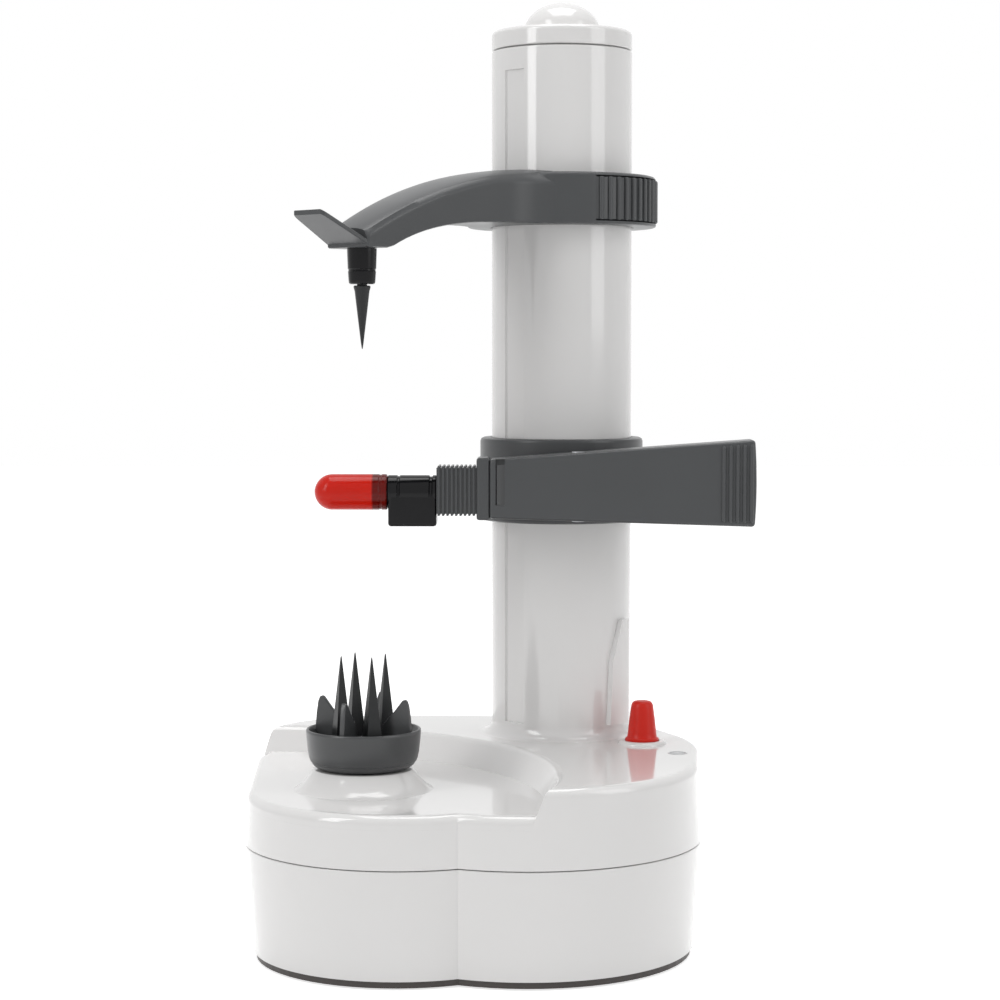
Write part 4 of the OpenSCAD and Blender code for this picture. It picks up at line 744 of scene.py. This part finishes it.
# %% Holes for the carriage's screws
screw_sink = [(0, 22), (1.5, 22), (1.5, 24.4), (3, 24.4), (3, 30), (0, 30)]
for z in (CARRIAGE + 9, CARRIAGE + 17):
    combine(collar, level_bore("screw_sink", screw_sink, 0, z), "DIFFERENCE")
dress(collar, charcoal_satin, "carriage", "grey_plastic", "carriage_collar")

# %% [markdown]
# The blade arm is a long trough that is open at the back. Its front view is a fan: it grows from the
# neck to the grip. The front outline is drawn once and pushed back, a second, smaller one cuts the
# trough, and the edges of the front face get a generous round. Five upright ribs make the grip.

# %% Blade arm
ARM_LEFT, ARM_RIGHT, ARM_FRONT, ARM_BACK, ARM_WALL = -22, 59, -44.1, -31.1, 2
LOW_EDGE, HIGH_EDGE = (3, 0.6), (21, 27.0)  # above the carriage's foot, at the left and right end

def arm_edge(edge, x):
    """The height of the arm's lower or upper edge at x."""
    left, right = edge
    return CARRIAGE + left + (right - left) * (x - ARM_LEFT) / (ARM_RIGHT - ARM_LEFT)

def arm_outline(inset, y):
    """The arm's front outline, clockwise from the lower left, with a slightly bowed end."""
    left, right = ARM_LEFT + inset, ARM_RIGHT - inset
    foot = arm_edge(LOW_EDGE, right) + inset
    tall = arm_edge(HIGH_EDGE, right) - arm_edge(LOW_EDGE, right) - 2 * inset
    end = [(right - 0.5 * (2 * k / 8 - 1) ** 2, y, foot + tall * k / 8) for k in range(9)]
    return [(left, y, arm_edge(LOW_EDGE, left) + inset)] + end + [(left, y, arm_edge(HIGH_EDGE, left) - inset)]

arm = slab("peel_arm_trough", arm_outline(0, ARM_BACK), (0, ARM_FRONT - ARM_BACK, 0))
round_edges(arm, 1.0, 4, 50)
trough = slab("trough", arm_outline(ARM_WALL, ARM_BACK + 1), (0, ARM_FRONT - ARM_BACK - 1 + ARM_WALL, 0))
combine(arm, trough, "DIFFERENCE")
combine(arm, cylinders("pivot_bore", [(PIVOT_X, ARM_Y, 120, 160, 2.05)], 48), "DIFFERENCE")

# %% [markdown]
# The grip's ribs are upright rods with round ends, sunk half into the front face. A narrow window
# stands by the neck.

# %% Grip ribs and window
def rod_rib(name, ends, low, high, at):
    """A turned upright rib. Its ends are (radius, distance from the end) pairs, the same at both."""
    foot = [(r, low + d) for r, d in ends]
    head = [(r, high - d) for r, d in reversed(ends)]
    return turned(name, foot + head, at, 24)

GRIP_PITCH = 2.1
for k in range(5):
    x = ARM_RIGHT - 1.6 - GRIP_PITCH * k
    ends = [(0, 1.0), (0.35, 1.1), (0.62, 1.45), (0.7, 1.9)]
    grip_rib = rod_rib("grip_rib", ends, arm_edge(LOW_EDGE, x), arm_edge(HIGH_EDGE, x), (x, ARM_FRONT))
    combine(arm, grip_rib, "UNION")
window = slab("window", [(x, ARM_FRONT - 1, z) for x, z in corners(-20.2, 133.1, -17.4, 147.1)], (0, 4, 0))
combine(arm, window, "DIFFERENCE")
dress(arm, charcoal_satin, "peel_arm", "grey_plastic", "peel_arm")

# %% [markdown]
# The neck is a bar wrapped in narrow ribs, with a smooth collar where it plugs into the arm. The bar
# is a box drawn as an outline and pushed up, and each rib is a slightly larger box with rounded edges.

# %% Blade neck
def block(name, low, high, width=0, segments=2):
    """A box between two corners, in mm, with rounded edges."""
    part = slab(name, [(x, y, low[2]) for x, y in corners(*low[:2], *high[:2])], (0, 0, high[2] - low[2]))
    return round_edges(part, width, segments) if width else part

NECK, RIB_PITCH, RIB_W = -38.2, 1.33, 0.72
neck = block("blade_neck_ribbed", (-26, ARM_Y - 6.1, 128.5), (ARM_LEFT, ARM_Y + 6.1, 147.5), 0.8, 3)
combine(neck, block("bar", (NECK, ARM_Y - 5, 130.4), (-25, ARM_Y + 5, 144.4)), "UNION")
for k in range(9):
    x = NECK + 0.35 + RIB_PITCH * k
    combine(neck, block("rib", (x, ARM_Y - 5.6, 129.8), (x + RIB_W, ARM_Y + 5.6, 145.0), 0.2, 2), "UNION")
dress(neck, charcoal_satin, "peel_arm", "grey_plastic", "blade_neck")

# %% [markdown]
# ## Blade holder, blade and guard
# The holder is a round black barrel on a square lower block. Turned pieces that lie along the arm are
# spun about a level line, with the profile drawn as distance along the arm and radius.

# %% Blade holder
def laid(name, profile, y, z, steps=64, closed=False):
    """Spins a line of (x, radius) points, in mm, about the level line through y and z."""
    part = blank(name)
    draw([(x, y, z + r) for x, r in profile], closed)
    bpy.ops.mesh.select_all(action="SELECT")
    bpy.ops.mesh.spin(steps=steps, angle=math.tau, center=(0, y * MM, z * MM), axis=(1, 0, 0))
    return tidy(part)

BLADE_Z, HOLDER = 136.8, -53.4
front = [(-4, 0), (-4, 3.9), (-3.7, 4.2), (0, 4.2), (0, 4.8), (0.4, 5.2), (3.0, 5.2), (3.3, 4.9),
         (3.7, 4.9), (4.0, 5.2)]
back = [(2.4, 5.2), (2.1, 4.8), (1.5, 4.8), (1.2, 5.2), (0.4, 5.2), (0, 4.8), (0, 0)]
barrel = [(HOLDER + x, r) for x, r in front] + [(NECK - x, r) for x, r in back]
holder = laid("blade_holder_barrel", barrel, ARM_Y, BLADE_Z)
holder_block = block("holder_block", (HOLDER + 0.4, ARM_Y - 5, 126.5), (NECK, ARM_Y + 5, BLADE_Z), 0.9, 3)
combine(holder, holder_block, "UNION")
dress(holder, black_gloss, "peel_arm", "black_plastic", "blade_holder")

# %% [markdown]
# The blade is the slotted swivel kind: a thin steel plate with a long window whose lips are the
# cutting edges. The plate is a flat outline with a rounded end. The guard slides over it.

# %% Peeling blade
BLADE_Y, BLADE_HALF, BLADE_T = ARM_Y - 1.2, 3, 0.6
turns = [math.radians(-90 + 180 * k / 12) for k in range(13)]
outline = [(HOLDER - 13 - BLADE_HALF * math.cos(a), BLADE_Y, BLADE_Z + BLADE_HALF * math.sin(a))
           for a in turns]
outline += [(HOLDER + 3, BLADE_Y, BLADE_Z + BLADE_HALF), (HOLDER + 3, BLADE_Y, BLADE_Z - BLADE_HALF)]
blade = slab("peeling_blade_plate", outline, (0, -BLADE_T, 0))
blade_slot = slab("blade_slot", [(HOLDER - x, BLADE_Y + 1, BLADE_Z + z) for x, z in corners(14, -1, 5, 1)],
                  (0, -3, 0))
combine(blade, blade_slot, "DIFFERENCE")
dress(blade, blade_steel, "peel_arm", "blade_steel", "peeling_blade")

# %% [markdown]
# The guard is a hollow sleeve with a half-round end, so its profile runs along the outside to the tip
# and back along the inside.

# %% Blade guard
GUARD_R, GUARD_BORE = 5.5, 4.25
far = HOLDER - 16.9

def half_round(r, angles):
    """Points on the round end of the guard for a radius, from the sleeve's side to its tip or back."""
    return [(far - r * math.sin(math.radians(a)), r * math.cos(math.radians(a))) for a in angles]

mouth = [(0.05, GUARD_BORE), (0.05, 5.2), (0.35, GUARD_R), (1.6, GUARD_R), (1.8, 5.35), (2.4, 5.35),
         (2.6, GUARD_R)]
sleeve = [*[(HOLDER - x, r) for x, r in mouth],
          (far, GUARD_R), *half_round(GUARD_R, range(10, 81, 10)), (far - GUARD_R, 0),
          (far - 4.3, 0), *half_round(GUARD_BORE, range(80, 9, -10)), (far, GUARD_BORE)]
guard = laid("blade_guard_cap", sleeve, ARM_Y, BLADE_Z, closed=True)
dress(guard, guard_red, "guard", "red_guard_plastic", "blade_guard")

# %% [markdown]
# ## Upper arm
# The upper arm reaches from its ring on the column out over the cup. Its sections change all the way:
# tall and wide at the ring, low and narrow at the tip, with a soft crown on top. They are bridged in a
# row, the ring is turned, and the thin lever behind the spike is a second short row of sections.

# %% Upper arm, body
RING, RING_TOP, TIP, REACH = 219, 235, 210, math.hypot(*CUP)
ROOT_HALF, TIP_HALF, ROOT_FLARE = 14, 8.8, 5.5

def arm_section(t):
    """The closed section of the arm at distance t from the column's axis."""
    taper = (TIP_HALF - ROOT_HALF) * (t - 24) / (REACH + 6 - 24)
    half = ROOT_HALF + taper + ROOT_FLARE * max(0, 1 - (t - 22) / 15) ** 2
    top = 236.5 - 21.5 * max(0, (t - 13) / 81.5) ** 2.16
    under = RING - 9 * min(1, max(0, (t - 25) / 59)) ** 3.6
    edge = top - 2 - 2 * max(0, 1 - (t - 24) / 20)
    crown = [(half * math.sin(math.radians(a)) * 0.94,
              edge + (top - edge) * math.cos(math.radians(a * 0.94)) ** 0.85)
             for a in (75, 60, 45, 30, 15, 0, -15, -30, -45, -60, -75)]
    left_side = [(half - 0.1, under + 0.25), (half, under + 0.9), (half + 0.3, edge - 1.5),
                 (half + 0.2, edge - 0.8), (half - 0.3, edge - 0.2)]
    right_side = [(-side, z) for side, z in reversed(left_side)]
    ring = [(-half + 0.6, under), (half - 0.6, under), *left_side, *crown, *right_side]
    return [along_arm(t, side, z) for side, z in ring]

def sideways(point):
    """How far a point lies to the left of the line towards the cup."""
    return point[1] * math.cos(CUP_TURN) - point[0] * math.sin(CUP_TURN)

sections = [arm_section(20 + (REACH + 5.4 - 20) * k / 30) for k in range(31)]
closing = [along_arm(REACH + 6, sideways(p) * 0.94, p[2] * 0.96 + (TIP + 2.5) * 0.04)
           for p in arm_section(REACH + 5.8)]
upper_arm = bridged("upper_arm_beam", [*sections, closing])
combine(upper_arm, cylinders("arm_root", [(0, 0, 200, 250, 24)], 192), "DIFFERENCE")

# %% Upper arm, ring
RING_R, KEY_IN, KEY_OUT, KEY_HALF = 30, 21.6, 25.3, 3.4
ring = turned("ring", [
    (RUN_R, RING + 0.4), (23.0, RING), (29.3, RING), (29.8, RING + 0.2), (RING_R, RING + 0.7),
    (RING_R, RING_TOP - 1.4), (29.8, RING_TOP - 0.7), (29.3, RING_TOP - 0.2), (28.6, RING_TOP),
    (23.0, RING_TOP), (RUN_R, RING_TOP - 0.4),
], steps=192, closed=True)
key = slab("key", [along_arm(t, side, RING + 0.2) for t, side in corners(KEY_IN, -KEY_HALF, KEY_OUT, KEY_HALF)],
           (0, 0, 15.4))
combine(ring, key, "UNION")
combine(upper_arm, ring, "UNION")

# %% [markdown]
# Behind the spike the arm ends in a thin lever for a finger, which rises and narrows to a rounded end.

# %% Upper arm, finger lever and openings
LEVER_LONG, LEVER_RISE = 17.4, 9

def lever_section(t, grow):
    """A thin section of the lever behind the spike; grow scales it down at its rounded end."""
    low = TIP + (t - REACH - 4) * LEVER_RISE / LEVER_LONG
    half = TIP_HALF - 2.45 * (t - REACH - 4) / LEVER_LONG
    return [along_arm(t, side * half * grow, low + height) for side, height in
            ((-1, 0.2), (-0.97, 0), (0.97, 0), (1, 0.2), (1, 1.2), (0.97, 1.4), (-0.97, 1.4), (-1, 1.2))]

lever = bridged("lever", [lever_section(REACH + d, grow) for d, grow in
                          ((4, 1), (10, 1), (16, 1), (19, 1), (20.2, 0.985), (21.0, 0.95), (21.4, 0.9))])
combine(upper_arm, lever, "UNION")
RELEASE_TURN = math.radians(-27)

def turned_flat(rows, z):
    """Points given as (outward, sideways) in the release's own direction."""
    return [(r * math.cos(RELEASE_TURN) - s * math.sin(RELEASE_TURN),
             r * math.sin(RELEASE_TURN) + s * math.cos(RELEASE_TURN), z) for r, s in rows]

PAD_HALF, PAD_PLAY = 20, 0.3
pocket_half = PAD_HALF + PAD_PLAY
pocket = slab("pocket", turned_flat(corners(10, -pocket_half, 60, pocket_half), RING + 1), (0, 0, 14))
combine(pocket, cylinders("pocket_core", [(0, 0, RING - 2, RING + 20, 24.7)], 192), "DIFFERENCE")
combine(upper_arm, pocket, "DIFFERENCE")
combine(upper_arm, cylinders("bush_seat", [(*CUP, TIP - 1, TIP + 4, 3)]), "DIFFERENCE")
dress(upper_arm, charcoal_satin, "upper_arm", "grey_plastic", "upper_arm")

# %% [markdown]
# The release is the ribbed pad let into the ring. It is the same turned wall as the ring, cut to its
# width, with fourteen upright half-round ribs for the thumb.

# %% Release pad
PAD_R, PAD_RIB_RING = 29.7, 29.75
pad = turned("arm_release_pad", [
    (26.6, RING + 1.3), (29.4, RING + 1.3), (PAD_R, RING + 1.6), (PAD_R, RING_TOP - 1.6),
    (29.4, RING_TOP - 1.3), (26.6, RING_TOP - 1.3),
], steps=192, closed=True)
for k in range(14):
    a = RELEASE_TURN + math.radians((k - 6.5) * 6)
    at = (PAD_RIB_RING * math.cos(a), PAD_RIB_RING * math.sin(a))
    combine(pad, rod_rib("pad_rib", [(0, 1.35), (0.55, 1.4), (0.8, 1.8)], RING, RING_TOP, at), "UNION")
pad_space = slab("pad_space", turned_flat(corners(5, -PAD_HALF, 60, PAD_HALF), RING), (0, 0, RING_TOP - RING))
combine(pad, pad_space, "INTERSECT")
dress(pad, charcoal_satin, "release", "grey_plastic", "arm_release")

# %% [markdown]
# ## Bush and upper spike
# A glossy black bush hangs under the tip of the arm, and the upper spike turns in it. Both are turned.
# The spike is slender, with a slight shoulder under the bush.

# %% Bush
bush = turned("spike_bush_sleeve", [
    (1.6, TIP - 10.5), (3.5, TIP - 10.5), (3.85, TIP - 10.2), (3.95, TIP - 9.6), (4.15, TIP - 6.8),
    (4.02, TIP - 6.6), (4.02, TIP - 6.2), (4.2, TIP - 6.0), (4.38, TIP - 1), (4.4, TIP - 0.05), (3, TIP),
    (3, TIP + 3.9), (0, TIP + 3.9), (0, TIP + 2), (2.5, TIP + 2), (2.5, TIP - 2.9), (1.6, TIP - 2.9),
], CUP, 96, closed=True)
dress(bush, black_gloss, "upper_arm", "black_plastic", "spike_bush")

# %% Upper spike
SPEAR = TIP - 10.9
spear = turned("top_spike_pin", [
    (0, SPEAR - 18.6), (0.14, SPEAR - 18.5), (0.4, SPEAR - 16.8), (1.4, SPEAR - 8.5), (2.2, SPEAR - 1.6),
    (2.5, SPEAR - 0.6), (2.5, SPEAR - 0.2), (2.3, SPEAR), (1.5, SPEAR), (1.5, SPEAR + 8.1),
    (2.4, SPEAR + 8.1), (2.4, SPEAR + 9.7), (0, SPEAR + 9.7),
], CUP, 64)
dress(spear, spike_grey, "top_spike", "spike_plastic", "top_spike")

# %% [markdown]
# ## Floor and light
# The machine stands on a plain white sheet in a bright room. What the camera sees directly, or in a
# mirror, is full white. As a source of light the room is softer, so the white housing keeps its
# shading, and the sheet still takes the shadow under the base.

# %% Floor and room
def plain_sight(tree, least, most):
    """A strength that is most for what is seen directly or mirrored, and least for all other light."""
    ray = tree.nodes.new("ShaderNodeLightPath")
    seen = ray.outputs["Is Camera Ray"]
    for other in ("Is Glossy Ray", "Is Transmission Ray"):
        either = tree.nodes.new("ShaderNodeMath")
        either.operation = "ADD"
        tree.links.new(seen, either.inputs[0])
        tree.links.new(ray.outputs[other], either.inputs[1])
        seen = either.outputs["Value"]
    level = set_inputs(tree.nodes.new("ShaderNodeMapRange"), To_Min=least, To_Max=most)
    tree.links.new(seen, level.inputs["Value"])
    return level.outputs["Result"]

sheet, _, links, paper = new_finish("floor_white")
set_inputs(paper, Base_Color=(0.9, 0.9, 0.9, 1), Roughness=0.7, Emission_Color=(1, 1, 1, 1))
links.new(plain_sight(sheet.node_tree, 0, 0.7), paper.inputs["Emission Strength"])
put_down()
bpy.ops.mesh.primitive_plane_add(size=6, location=(0, 0, 0))
floor = bpy.context.object
floor.name = "floor"
floor.data.materials.append(sheet)

world = bpy.data.worlds.new("studio")
world.use_nodes = True
bpy.context.scene.world = world
sky = set_inputs(world.node_tree.nodes["Background"], Color=(1, 1, 1, 1))
world.node_tree.links.new(plain_sight(world.node_tree, 0.35, 1), sky.inputs["Strength"])

# %% [markdown]
# Three soft lamps light the machine. The tall key on the left draws the bright line on the column,
# the weaker fill opens the right side, and the one overhead lifts the decks.

# %% Lamps
def lamp(name, place, target, size, power):
    """A rectangular area lamp at a place, in metres, that looks at a target."""
    bpy.ops.object.light_add(type="AREA", location=place)
    light = bpy.context.object
    light.name = name
    light.data.shape = "RECTANGLE"
    light.data.size, light.data.size_y = size
    light.data.energy = power
    light.rotation_euler = (Vector(target) - Vector(place)).to_track_quat("-Z", "Y").to_euler()
    return light

lamp("key", (-0.9, -0.75, 0.75), (0, 0, 0.14), (0.35, 1.0), 4.9)
lamp("fill", (0.9, -0.5, 0.6), (0, 0, 0.14), (0.5, 0.9), 2.7)
lamp("top", (0, 0.05, 1.2), (0, 0, 0.1), (0.7, 0.7), 5.6)

bpy.context.scene.view_settings.view_transform = "Standard"
